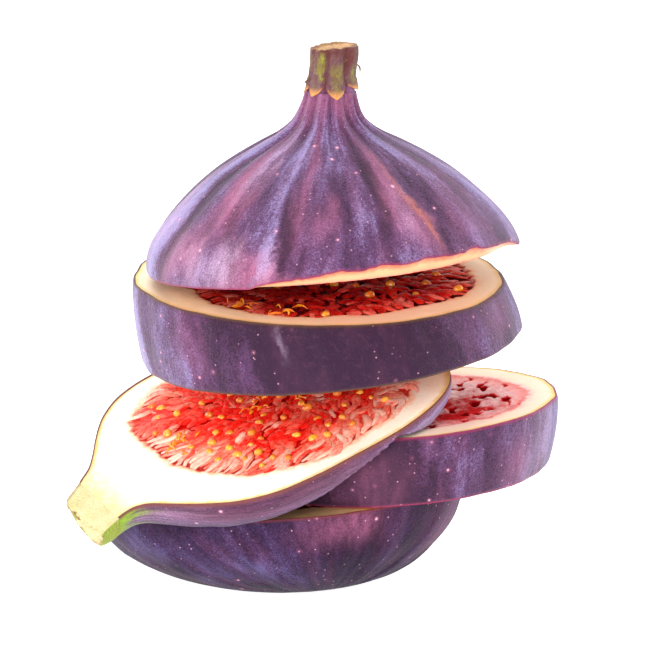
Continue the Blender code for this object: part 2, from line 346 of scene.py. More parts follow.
class Graph:
    """Builds one node material step by step."""

    def __init__(self, name: str) -> None:
        """Starts an empty material with a Principled shader."""
        self.material = bpy.data.materials.new(name)
        self.material.use_nodes = True
        self.tree = self.material.node_tree
        self.shader = self.tree.nodes["Principled BSDF"]

    def feed(self, socket: Socket, value: object) -> None:
        """Sets an input to a plain value, or links it to another node's output."""
        if isinstance(value, Socket):
            self.tree.links.new(value, socket)
        else:
            socket.default_value = value

    def put(self, kind: str, inputs: dict[object, object], **settings: object) -> bpy.types.Node:
        """Adds a node.

        Args:
            kind: Node type, without its ShaderNode prefix.
            inputs: What each input takes, by name or number.
            settings: The node's own settings.

        Returns:
            The node.
        """
        node = self.tree.nodes.new("ShaderNode" + kind)
        for key, value in settings.items():
            setattr(node, key, value)
        for key, value in inputs.items():
            self.feed(node.inputs[key], value)
        return node

    def mark(self, name: str) -> Socket:
        """A number marked on the mesh."""
        return self.put("Attribute", {}, attribute_name=name).outputs["Fac"]

    def grain(self) -> Socket:
        """Place on the skin in millimetres: x and y round it, z along it from cut to tip."""
        return self.put("Attribute", {}, attribute_name="grain").outputs["Vector"]

    def place(self) -> Socket:
        """Place in the piece, in millimetres."""
        own = self.put("TexCoord", {}).outputs["Object"]
        return self.put("VectorMath", {0: own, "Scale": 1 / MM}, operation="SCALE").outputs[0]

    def squeeze(self, vector: Socket, by: Spot) -> Socket:
        """A place multiplied axis by axis, which stretches a pattern read there."""
        return self.put("VectorMath", {0: vector, 1: by}, operation="MULTIPLY").outputs[0]

    def span(
        self, value: Socket, low: float, high: float, start: float = 0.0, end: float = 1.0
    ) -> Socket:
        """A value moved smoothly from low..high to start..end and held there."""
        inputs = {0: value, 1: low, 2: high, 3: start, 4: end}
        return self.put("MapRange", inputs, interpolation_type="SMOOTHSTEP").outputs[0]

    def noise(
        self,
        vector: Socket,
        scale: float,
        detail: float = 3.0,
        rough: float = 0.55,
        low: float = 0.35,
        high: float = 0.65,
    ) -> Socket:
        """Random cover from 0 to 1 at a place, with its contrast set by low and high."""
        inputs = {"Vector": vector, "Scale": scale, "Detail": detail, "Roughness": rough}
        return self.span(self.put("TexNoise", inputs).outputs[0], low, high)

    def sum(self, *parts: tuple[object, float]) -> Socket:
        """Weighted sum of values."""
        total: object = 0.0
        for value, weight in parts:
            inputs = {0: value, 1: weight, 2: total}
            total = self.put("Math", inputs, operation="MULTIPLY_ADD").outputs[0]
        return total

    def times(self, one: object, other: object) -> Socket:
        """Product of two values, held between 0 and 1."""
        return self.put("Math", {0: one, 1: other}, operation="MULTIPLY", use_clamp=True).outputs[0]

    def blend(self, share: object, one: object, other: object, how: str = "MIX") -> Socket:
        """Two colours mixed by a share."""
        inputs = {0: share, 6: one, 7: other}
        return self.put("Mix", inputs, data_type="RGBA", blend_type=how, clamp_factor=True).outputs[2]

    def ramp(self, value: Socket, *stops: tuple[float, Colour]) -> Socket:
        """Colour read off a row of stops."""
        node = self.put("ValToRGB", {0: value})
        row = node.color_ramp.elements
        row[0].position, row[0].color = stops[0]
        row[1].position, row[1].color = stops[-1]
        for position, colour in stops[1:-1]:
            row.new(position).color = colour
        return node.outputs[0]

    def finish(self, colour: object, rough: object, **surface: object) -> Material:
        """Feeds the shader.

        Args:
            colour: Base colour.
            rough: Roughness.
            surface: The shader's other inputs, with spaces written as underscores. The normal
                is given as relief: height, strength and distance in millimetres.

        Returns:
            The finished material.
        """
        self.feed(self.shader.inputs["Base Color"], colour)
        self.feed(self.shader.inputs["Roughness"], rough)
        relief = surface.pop("relief", None)
        if relief:
            inputs = {"Height": relief[0], "Strength": relief[1], "Distance": relief[2] * MM}
            self.feed(self.shader.inputs["Normal"], self.put("Bump", inputs).outputs[0])
        for key, value in surface.items():
            self.feed(self.shader.inputs[key.replace("_", " ")], value)
        return self.material


@dataclass(frozen=True)
class SkinFinish:
    """Waxy fig skin: plum with a pale bloom, lengthwise streaks, rosy patches and pale dots."""

    name: str
    deep: Colour = paint(46, 20, 46)
    plum: Colour = paint(90, 56, 94)
    bloom: Colour = paint(146, 136, 184)
    rose: Colour = paint(162, 92, 124)
    pale: Colour = paint(204, 172, 204)
    amber: Colour = paint(200, 116, 80)
    green: Colour = paint(150, 184, 48)
    edge: Colour = paint(116, 52, 58)
    dot: Colour = paint(240, 180, 200)
    streaks: float = 0.12
    bands: float = 0.16
    # ribs: how strongly the rib mark paints light on the fold crests and shade in the furrows
    ribs: float = 0.2
    sheen: float = 0.24
    shine: float = 0.2
    rosy: float = 0.22  # rose in the places with the least bloom
    base: float = 0.0  # how bloomy the skin is where nothing marks it

    def make(self) -> Material:
        """Builds the material."""
        g = Graph(self.name)
        grain, place = g.grain(), g.place()
        band = g.noise(g.squeeze(grain, (1, 1, 0.12)), 0.17, 2, 0.5, 0.34, 0.66)
        streak = g.noise(g.squeeze(grain, (1, 1, 0.12)), 0.7, 4, 0.6)
        cloud = g.noise(g.squeeze(grain, (1, 1, 0.5)), 0.12, 4, 0.55)
        drift = g.noise(g.squeeze(grain, (1, 1, 0.45)), 0.42, 5, 0.62, 0.36, 0.64)
        grit = g.noise(place, 2.6, 4, 0.75, 0.4, 0.6)
        fine = g.noise(place, 5.5, 3, 0.7, 0.36, 0.64)
        rib = g.mark("rib")
        waxy = g.sum(
            # rib: painted light on the fold crests and painted shade in the furrows
            (cloud, 0.26), (drift, 0.24), (band, self.bands), (streak, self.streaks), (rib, self.ribs),
            # the shade mark is painted shade: darker skin where shade falls
            (grit, 0.2), (fine, 0.3), (g.mark("bloom"), 0.8), (g.mark("shade"), -0.9),
            (1.0, self.base - self.ribs - 0.1),
        )
        colour = g.ramp(waxy, (0.0, self.deep), (0.48, self.plum), (1.0, self.bloom))
        flush = g.noise(g.squeeze(grain, (1, 1, 0.3)), 0.2, 4, 0.6, 0.45, 0.7)
        rosy = g.sum((g.mark("rose"), 1.0), (flush, self.rosy))
        rosy = g.times(rosy, g.sum((drift, 0.4), (grit, 0.2), (fine, 0.3), (1.0, 0.3)))
        colour = g.blend(rosy, colour, self.rose)
        worn = g.times(g.noise(place, 1.1, 5, 0.75, 0.5, 0.66), 0.2)
        colour = g.blend(worn, colour, g.blend(0.35, self.deep, self.rose))
        for name, over, parts in (
            ("pale", self.pale, ((drift, 0.5), (fine, 0.4), (1.0, 0.1))),
            ("amber", self.amber, ((streak, 0.6), (fine, 0.3), (1.0, 0.1))),
            ("green", self.green, ((streak, 0.4), (1.0, 0.8))),
        ):
            colour = g.blend(g.times(g.mark(name), g.sum(*parts)), colour, over)
        colour = g.blend(g.times(g.noise(place, 4.2, 3, 0.7, 0.52, 0.64), 0.4), colour, self.deep)
        spots = g.put("TexVoronoi", {"Vector": place, "Scale": 0.36, "Randomness": 1.0})
        chosen = g.put("SeparateColor", {0: spots.outputs["Color"]})
        near = g.sum((spots.outputs["Distance"], 1.0), (chosen.outputs[1], 0.05), (fine, 0.03))
        spot = g.times(g.span(near, 0.15, 0.08), g.span(chosen.outputs[0], 0.6, 0.64))
        halo = g.times(g.span(near, 0.26, 0.1), g.span(chosen.outputs[0], 0.6, 0.64))
        colour = g.blend(g.times(halo, 0.4), colour, self.rose)
        colour = g.blend(g.times(spot, 0.85), colour, self.dot)
        tiny = g.put("TexVoronoi", {"Vector": place, "Scale": 1.0, "Randomness": 1.0})
        few = g.put("SeparateColor", {0: tiny.outputs["Color"]}).outputs[1]
        speck = g.times(g.span(tiny.outputs["Distance"], 0.16, 0.07), g.span(few, 0.7, 0.74))
        colour = g.blend(g.times(speck, 0.5), colour, self.dot)
        colour = g.blend(g.mark("edge"), colour, self.edge)
        rough = g.span(g.sum((drift, 0.4), (grit, 0.4), (streak, 0.2)), 0.0, 1.0, 0.4, 0.6)
        height = g.sum((streak, 0.3), (grit, 0.35), (drift, 0.35), (spot, 0.6))
        return g.finish(
            colour, rough, relief=(height, 0.65, 0.17), IOR=1.42, Specular_IOR_Level=self.shine,
            Sheen_Weight=self.sheen, Sheen_Roughness=0.3, Sheen_Tint=(0.84, 0.8, 1.0, 1.0),
        )


@dataclass(frozen=True)
class FleshFinish:
    """Moist cut flesh, yellow beside the skin, blushing into a crimson bed of pulp."""

    name: str
    flesh: Colour = paint(255, 246, 222)
    beside_skin: Colour = paint(240, 208, 124)
    blush: Colour = paint(250, 170, 140)
    fringe: Colour = paint(250, 96, 78)  # pulp beside the flesh
    bed: Colour = paint(236, 18, 16)
    core: Colour = paint(214, 16, 16)  # round the pits
    pit: Colour = paint(150, 6, 12)
    tail: Colour = paint(232, 208, 142)  # towards the stalk
    skin_side: float = 1.0  # width of the yellow band
    fringe_width: float = 3.5
    wet: float = 0.2  # roughness of the pulp
    film: float = 0.15  # juice over it all
    stain: float = 0.5  # dark stains in the pulp
    gloss: float = 0.3
    streaky: bool = False  # juice only in streaks, none in the pits

    def make(self) -> Material:
        """Builds the material."""
        g = Graph(self.name)
        place = g.place()
        fibre = g.noise(place, 0.9, 4, 0.65)
        cloud = g.noise(place, 0.25, 3)
        wobble = g.sum((fibre, 0.5), (1.0, -0.25))
        skinward = g.sum((g.mark("inward"), 1.0), (wobble, 0.5 * self.skin_side))
        colour = g.blend(g.span(skinward, 0.0, self.skin_side), self.beside_skin, self.flesh)
        colour = g.blend(g.times(cloud, 0.1), colour, self.beside_skin)
        pulp = g.mark("pulp")
        pulpward = g.sum((pulp, 1.0), (wobble, 0.9))
        colour = g.blend(g.span(pulpward, -1.2, 0.2), colour, self.blush)
        bed = g.blend(g.span(pulpward, 0.3, self.fringe_width), self.fringe, self.bed)
        bed = g.blend(g.times(g.noise(place, 0.7, 4), self.stain), bed, self.pit)
        torn = g.sum((g.mark("pit"), 1.0), (fibre, 0.16), (1.0, -0.08))
        bed = g.blend(g.span(torn, 0.08, 0.5), bed, self.core)
        bed = g.blend(g.span(torn, 0.5, 0.95), bed, self.pit)
        tail = g.times(g.mark("tail"), g.sum((fibre, 0.4), (1.0, 0.8)))
        colour = g.blend(tail, colour, self.tail)
        colour = g.blend(g.span(pulpward, -0.1, 0.45), colour, bed)
        rough = g.span(g.sum((fibre, 0.1), (g.span(pulp, 0.8, -0.3), 1.0)), 0.0, 1.1, self.wet, 0.5)
        film: object = self.film
        if self.streaky:
            streak = g.noise(g.squeeze(place, (0.4, 1.0, 1.0)), 1.5, 4, 0.6, 0.48, 0.58)
            film = g.times(streak, g.span(g.mark("pit"), 0.55, 0.2))
            film = g.times(film, g.span(pulp, 0.2, 1.2, 0.0, self.film))
        height = g.sum((fibre, 0.6), (g.noise(place, 3.0, 2), 0.3))
        return g.finish(
            colour, rough, relief=(height, 0.3, 0.3 if self.streaky else 0.12), Subsurface_Weight=0.15,
            Subsurface_Radius=(1.0, 0.6, 0.45), Subsurface_Scale=0.0006, Specular_IOR_Level=self.gloss,
            Coat_Weight=film, Coat_Roughness=0.1,
        )


@dataclass(frozen=True)
class StrandFinish:
    """Wet strands of pulp, from pale pink to crimson, with painted shade on their undersides where they
    dip between each other.
    """

    name: str
    pale: Colour = paint(255, 208, 188)
    coral: Colour = paint(255, 120, 98)
    red: Colour = paint(250, 34, 24)
    # under: painted shade on the strands' undersides
    under: Colour = paint(224, 12, 12)
    coat: float = 0.15
    gloss: float = 0.3

    def make(self) -> Material:
        """Builds the material."""
        g = Graph(self.name)
        place = g.place()
        stain = g.noise(place, 0.22, 3)
        speck = g.noise(place, 1.6, 3, 0.6)
        tone = g.sum(
            (g.mark("tone"), 0.95), (stain, -0.36), (speck, 0.16), (g.mark("tip"), -0.25), (1.0, 0.16)
        )
        colour = g.ramp(tone, (0.0, self.red), (0.42, self.coral), (0.95, self.pale))
        # painted shade: the strands' undersides take the under colour
        colour = g.blend(g.span(g.mark("under"), 0.22, 0.56), colour, self.under)
        rough = g.span(speck, 0.0, 1.0, 0.2, 0.36)
        return g.finish(
            colour, rough, relief=(g.sum((speck, 0.6), (g.noise(place, 5.0, 2), 0.4)), 0.3, 0.1),
            Specular_IOR_Level=self.gloss, Subsurface_Weight=0.3, Subsurface_Radius=(1.0, 0.5, 0.4),
            Subsurface_Scale=0.0005, Coat_Weight=self.coat, Coat_Roughness=0.1,
        )


@dataclass(frozen=True)
class SeedFinish:
    """Glossy golden seeds under a film of juice."""

    name: str
    gold: Colour = paint(252, 176, 54)
    dark: Colour = paint(222, 112, 24)
    shaded: Colour = paint(176, 40, 20)  # where they lie in the pulp

    def make(self) -> Material:
        """Builds the material."""
        g = Graph(self.name)
        place = g.place()
        shade = g.sum((g.mark("tone"), 0.7), (g.noise(place, 1.8, 3), 0.4))
        colour = g.blend(g.span(shade, 0.1, 1.0), self.dark, self.gold)
        colour = g.blend(g.span(g.mark("under"), 0.45, 0.9), colour, self.shaded)
        rough = g.span(g.noise(place, 3.0, 2), 0.0, 1.0, 0.16, 0.3)
        return g.finish(
            colour, rough, relief=(g.noise(place, 4.0, 2), 0.25, 0.08), Subsurface_Weight=0.3,
            Subsurface_Radius=(1.0, 0.5, 0.2), Subsurface_Scale=0.0006, Coat_Weight=0.6,
            Coat_Roughness=0.08,
        )


@dataclass(frozen=True)
class WoodyFinish:
    """Stalk and scales: green or tan, browned in places, with lengthwise fibres and a pale cut."""

    name: str
    body: Colour = paint(124, 100, 58)
    fresh: Colour = paint(162, 168, 34)
    brown: Colour = paint(112, 66, 86)
    cut: Colour = paint(232, 184, 130)
    crease: Colour = paint(98, 38, 36)
    foot: Colour = paint(134, 80, 122)  # where the stalk runs into the skin

    def make(self) -> Material:
        """Builds the material."""
        g = Graph(self.name)
        place, grain = g.place(), g.grain()
        fibre = g.noise(g.squeeze(grain, (1, 1, 0.18)), 2.6, 3, 0.6)
        stain = g.noise(place, 0.5, 3)
        speck = g.noise(place, 3.0, 3, 0.7)
        colour = g.blend(g.sum((fibre, 0.5), (stain, 0.3)), self.body, self.fresh)
        brown = g.times(g.mark("brown"), g.sum((fibre, 0.5), (stain, 0.3), (1.0, 0.5)))
        colour = g.blend(brown, colour, self.brown)
        colour = g.blend(g.times(speck, 0.42), colour, self.crease)
        colour = g.blend(g.span(g.mark("brown"), 1.0, 2.0), colour, self.foot)
        colour = g.blend(g.mark("pale"), colour, self.cut)
        crease = g.times(g.mark("crease"), g.sum((speck, 0.4), (1.0, 0.7)))
        colour = g.blend(crease, colour, self.crease)
        rough = g.span(g.sum((fibre, 0.5), (speck, 0.5)), 0.0, 1.0, 0.42, 0.68)
        return g.finish(
            colour, rough, relief=(g.sum((fibre, 0.8), (speck, 0.6)), 0.8, 0.28), Subsurface_Weight=0.1,
            Subsurface_Radius=(1.0, 0.6, 0.3), Subsurface_Scale=0.0008,
        )


# ---- skins


class Tint(Enum):
    """What a soft patch brings to the skin. Each is a mark on the mesh."""

    ROSE = "rose"
    BLOOM = "bloom"
    # painted shade: darkens the skin in furrows, under the overhang of the piece above and low on the
    # base
    PAINTED_SHADE = "shade"
    AMBER = "amber"
    GREEN = "green"
    # pale streaks; the patches along a piece's left and right outlines are also a painted highlight
    PALE = "pale"


@dataclass(frozen=True)
class Patch:
    """A soft patch of one tint on a skin."""

    tint: Tint
    turn: float  # degrees round the piece, counter-clockwise from +X
    share: float  # place from the lower edge, 0, to the upper edge, 1
    wide: float  # degrees
    tall: float
    strength: float = 1.0
    lean: float = 0.0  # degrees it moves round from its lower to its upper end

    def weight(self, angle: Array, share: Array) -> Array:
        """How strongly it shows at each angle and share."""
        up, off = share - self.share, np.degrees(angle) - self.turn - self.lean * (share - self.share)
        off = (off + 180) % 360 - 180
        return self.strength * np.exp(-np.abs(off / self.wide) ** 2.4 - np.abs(up / self.tall) ** 2.4)


def patches(rows: dict[Tint, tuple[tuple[float, ...], ...]]) -> tuple[Patch, ...]:
    """Patches from rows of turn, share, width, height, strength and lean for each tint."""
    return tuple(Patch(tint, *row) for tint, mine in rows.items() for row in mine)


def skin_marks(
    angle: Array,
    share: Array,
    length: Array,
    rib: Array,
    soft_patches: tuple[Patch, ...],
    lumps: Lumps,
) -> Marks:
    """Marks for a skin's shader.

    Args:
        angle: Angle of each point round the piece.
        share: Its place from the lower edge to the upper one.
        length: Millimetres along the skin from the lower edge.
        rib: 1 on a fold's crest, 0 in a furrow.
        soft_patches: The patches on this skin.
        lumps: Unevenness that frays the patches.

    Returns:
        The marks by name.
    """
    grain = laid_round(angle, length)
    fray = lumps.at(grain * (1, 1, 0.4), 4.0) + 0.7 * lumps.at(grain * (1, 1, 0.5), 1.5)
    fray = fray + 0.4 * lumps.at(grain, 0.6)
    marks = {tint.value: np.zeros_like(share) for tint in Tint}
    for patch in soft_patches:
        frayed = patch.weight(angle + 0.045 * fray, share + 0.05 * fray) * (1 - 0.22 * fray)
        marks[patch.tint.value] = marks[patch.tint.value] + frayed
    return {"grain": grain, "rib": rib, **{k: held(v) for k, v in marks.items()}}


@dataclass(frozen=True)
class Cut:
    """A plane cut through a point, climbing per millimetre of X and of Y."""

    point: Array
    climb_x: float
    climb_y: float

    def height(self, x: Array, y: Array) -> Array:
        """Height of the cut over x, y."""
        return self.point[2] + self.climb_x * (x - self.point[0]) + self.climb_y * (y - self.point[1])

    def frame(self) -> tuple[Array, Array, Array]:
        """Unit directions in the cut along X and across it, and out of it upwards."""
        along = np.array([1.0, 0.0, self.climb_x])
        along /= np.linalg.norm(along)
        out = np.cross([1.0, 0.0, self.climb_x], [0.0, 1.0, self.climb_y])
        out /= np.linalg.norm(out)
        return along, np.cross(out, along), out


# ---- pulp


@dataclass
class PulpField:
    """What lies in one cut face's pulp: many curved strands, and seeds between them."""

    origin: Array
    along: Array
    across: Array
    out: Array
    outline: Array
    seed: int
    spacing: float = 1.0
    length: Pair = (3.0, 6.0)
    width: Pair = (0.8, 1.5)
    flat: float = 0.5  # thickness of a strand over its width
    lean: Pair = (0.0, 0.0)  # which way, in the face, roots lean before they turn in
    sunk: float = 0.25
    seeds: int = 60
    seed_size: float = 1.45
    seed_rise: float = 0.12
    far_shade: float = 0.0  # painted shade: how much darker the strands' red is on the far side, which lies in shade
    fibres: tuple[Pair, ...] = ()  # spots with tufts of thin orange fibres

    def __post_init__(self) -> None:
        """Draws where the strands root."""
        self.draw = np.random.default_rng(self.seed)
        self.lumps = Lumps(self.seed + 1)
        self.roots = self.scatter(self.spacing, 0.1, 9000)

    def scatter(self, apart: float, inside: float, tries: int) -> Array:
        """Draws random spots in the pulp.

        Args:
            apart: The least distance between two of them.
            inside: The least distance from the pulp's edge.
            tries: How many spots are tried.

        Returns:
            The spots that were kept.
        """
        low, high = self.outline.min(0), self.outline.max(0)
        spots = low + self.draw.random((tries * 3, 2)) * (high - low)
        spots = spots[gap_inside(spots, self.outline)[0] > inside]
        kept = np.empty((0, 2))
        for spot in spots[:tries]:
            if not len(kept) or ((kept - spot) ** 2).sum(1).min() > apart**2:
                kept = np.vstack([kept, spot])
        return kept

    def world(self, flat: Array, rise: Array) -> Array:
        """Places in the face, with their rise above it, in the row frame."""
        spot = self.origin + flat[..., :1] * self.along + flat[..., 1:2] * self.across
        return spot + rise[..., None] * self.out

    def inward(self, flat: Array) -> tuple[Array, Array]:
        """Distance of spots from the pulp's edge, and the direction away from it."""
        gap, nearest = gap_inside(flat, self.outline)
        return gap, unit((flat - nearest) * np.sign(gap)[:, None])

    def tubes(
        self, line: Array, side: Array, rise: Array, half: Array, flat: float, turn: Array
    ) -> Body:
        """Closed tubes along lines in the face.

        Args:
            line: Points of each tube's line.
            side: Direction across the tube at each point.
            rise: Height of each point above the face.
            half: Half the tube's width there.
            flat: Thickness of the tubes over their width.
            turn: Angles round a tube.

        Returns:
            All the tubes as one mesh.
        """
        ring = line[:, :, None] + side[:, :, None] * (half[..., None] * np.cos(turn))[..., None]
        height = rise[..., None] + flat * half[..., None] * np.sin(turn)
        return Body(self.world(ring, height).reshape(-1, 3), self.tube_faces(*height.shape))

    def strands(self) -> Body:
        """All strands as one mesh, each drawn from its root towards the middle of the pulp."""
        stations, around = 9, 7
        draw, count = self.draw, len(self.roots)
        gap, inward = self.inward(self.roots)
        deep = held(gap / 7.0)
        reach = draw.uniform(*self.length, count) * (1.15 - 0.45 * deep)
        width = draw.uniform(*self.width, count)
        sway = self.lumps.at(np.column_stack([self.roots, np.zeros(count)]), 4.5)
        swing = draw.normal(0, 0.08 + 0.28 * deep) + 1.1 * sway * deep
        lean = np.array(self.lean)
        spot = self.roots - inward * np.minimum(gap, 0.5)[:, None]
        line = [spot]
        for step in range(stations - 1):
            share = step / (stations - 2)
            _, inward = self.inward(line[-1])
            keep = held(1 + inward @ (lean / max(np.linalg.norm(lean), 1e-6)))[:, None]
            leaning = lean * (1.25 - share) * keep * (1 - 0.7 * deep)[:, None]
            head = inward * (0.35 + 1.2 * share) + leaning
            here = np.column_stack([line[-1], np.zeros(count)])
            bend = 1.3 * self.lumps.at(here, 2.3) + 0.6 * self.lumps.at(here + 40, 1.2)
            turn = swing * (0.4 + share) + bend * (0.55 + 0.45 * deep)
            cos, sin, (x, y) = np.cos(turn), np.sin(turn), head.T
            head = unit(np.column_stack([x * cos - y * sin, x * sin + y * cos]))
            line.append(line[-1] + head * (reach / (stations - 1))[:, None])
        flat = np.stack(line, 1)
        share = np.linspace(0, 1, stations)
        level = draw.uniform(-self.sunk - 0.16, -self.sunk + 0.08, count)[:, None]
        rise = level + 0.14 * np.sin(math.pi * share) - 0.2 * share**3
        ahead = unit(np.gradient(flat, axis=1))
        side = np.stack([-ahead[..., 1], ahead[..., 0]], -1)
        taper = np.sin(math.pi * (0.06 + 0.88 * share)) ** 0.45
        half = 0.5 * width[:, None] * taper
        tone = draw.normal(0.18, 0.25, count) + 0.62 * (1 - deep) ** 1.3
        # painted shade: strands further towards the far side are darker red
        tone = held(tone - self.far_shade * held(-self.roots[:, 1] / 9))
        turn = turns(around)
        # a root on the very edge has no way in, so nothing grows from it
        grown = np.linalg.norm(flat[:, -1] - flat[:, -2], axis=-1) > 1e-6
        body = self.tubes(flat[grown], side[grown], rise[grown], half[grown], self.flat, turn)
        shape = (int(grown.sum()), stations, around)
        # under marks the underside of each strand, where the painted shade goes
        under = 0.5 - 0.5 * np.sin(turn)
        body.marks = spread(shape, tone=tone[grown, None, None], tip=share[:, None], under=under)
        return body

    @staticmethod
    def tube_faces(count: int, stations: int, around: int) -> list[list[int]]:
        """Faces of closed tubes whose points run round, then along, then from tube to tube.

        Args:
            count: How many tubes.
            stations: Rings along each.
            around: Points round each ring.

        Returns:
            The faces.
        """
        here = np.arange(around)
        after = (here + 1) % around
        low = np.arange(stations - 1)[:, None] * around
        high = low + around
        quads = np.stack([low + here, low + after, high + after, high + here], -1).reshape(-1, 4)
        start = np.arange(count)[:, None, None] * stations * around
        faces = (quads + start).reshape(-1, 4).tolist()
        last = (stations - 1) * around
        for tube in range(count):
            first = tube * stations * around
            faces.append((first + here[::-1]).tolist())
            faces.append((first + last + here).tolist())
        return faces

    def fibre_bodies(self) -> Body:
        """All thin curling fibres as one mesh, in tufts of seven."""
        draw = np.random.default_rng(self.seed + 9)
        centres = np.repeat(np.array(self.fibres), 7, axis=0)
        count, stations, around = len(centres), 8, 6
        share = np.linspace(0, 1, stations)
        heading = draw.uniform(0, 2 * math.pi, count)[:, None]
        heading = heading + draw.normal(0, 1.1, count)[:, None] * share
        step = draw.uniform(1.0, 2.6, count)[:, None, None] / stations
        flat = centres[:, None] + draw.normal(0, 0.7, (count, 1, 2))
        flat = flat + np.cumsum(np.stack([np.cos(heading), np.sin(heading)], -1) * step, axis=1)
        rise = 0.1 + 0.5 * np.sin(math.pi * share) * draw.uniform(0.2, 1, count)[:, None]
        side = np.stack([-np.sin(heading), np.cos(heading)], -1)
        turn = turns(around)
        half = draw.uniform(0.1, 0.24, count)[:, None] * np.sin(math.pi * (0.1 + 0.8 * share))
        body = self.tubes(flat, side, rise, half, 1.0, turn)
        tone, under = draw.random(count)[:, None, None], 0.3 - 0.3 * np.sin(turn)
        body.marks = spread((count, stations, around), tone=tone, under=under)
        return body

    def seed_bodies(self) -> Body:
        """All seeds as one mesh, lying at random headings between the strands."""
        draw = self.draw
        spots = self.scatter(1.7, 1.6, self.seeds * 3)[: self.seeds]
        count, rows, around = len(spots), 8, 10
        gap, _ = self.inward(spots)
        size = self.seed_size * draw.uniform(0.72, 1.12, count) / 2
        rise = self.seed_rise + draw.uniform(-0.4, 0.1, count)
        heading = draw.uniform(0, math.pi, count)
        tilt = np.linspace(0.12, math.pi - 0.12, rows)
        turn = turns(around)
        wide, thick = 0.8, 0.78  # over its length
        long_way = np.outer(np.cos(tilt), np.ones(around))
        wide_way = np.outer(np.sin(tilt), np.cos(turn)) * wide
        ball = np.stack([long_way, wide_way, np.outer(np.sin(tilt), np.sin(turn)) * thick], -1)
        ball[..., 1:] *= 1 + 0.16 * ball[..., :1]
        shaped = ball[None] * size[:, None, None, None]
        cos, sin = np.cos(heading)[:, None, None], np.sin(heading)[:, None, None]
        x = shaped[..., 0] * cos - shaped[..., 1] * sin
        y = shaped[..., 0] * sin + shaped[..., 1] * cos
        flat = np.stack([x, y], -1) + spots[:, None, None]
        points = self.world(flat, shaped[..., 2] + rise[:, None, None])
        tone, under = draw.random(count)[:, None, None], 0.5 - 0.5 * ball[..., 2] / thick
        marks = spread((count, rows, around), tone=tone, under=under)
        return Body(points.reshape(-1, 3), self.tube_faces(count, rows, around), marks)

    def build(self, name: str, slot: str, look: Looks, torn: bool = False) -> None:
        """Makes the strands, the seeds and the fibres.

        Args:
            name: What their names start with.
            slot: The record's material slot, passed on to each piece.
            look: Materials of the strands, the seeds and the fibres.
            torn: Whether the pulp is torn away, which leaves no strands.
        """
        if not torn:
            piece(name + "_strands", self.strands(), look[0], slot)
        piece(name + "_seeds", self.seed_bodies(), look[1], slot)
        if self.fibres:
            piece(name + "_fibres", self.fibre_bodies(), look[2], slot)


# ---- crosswise pieces


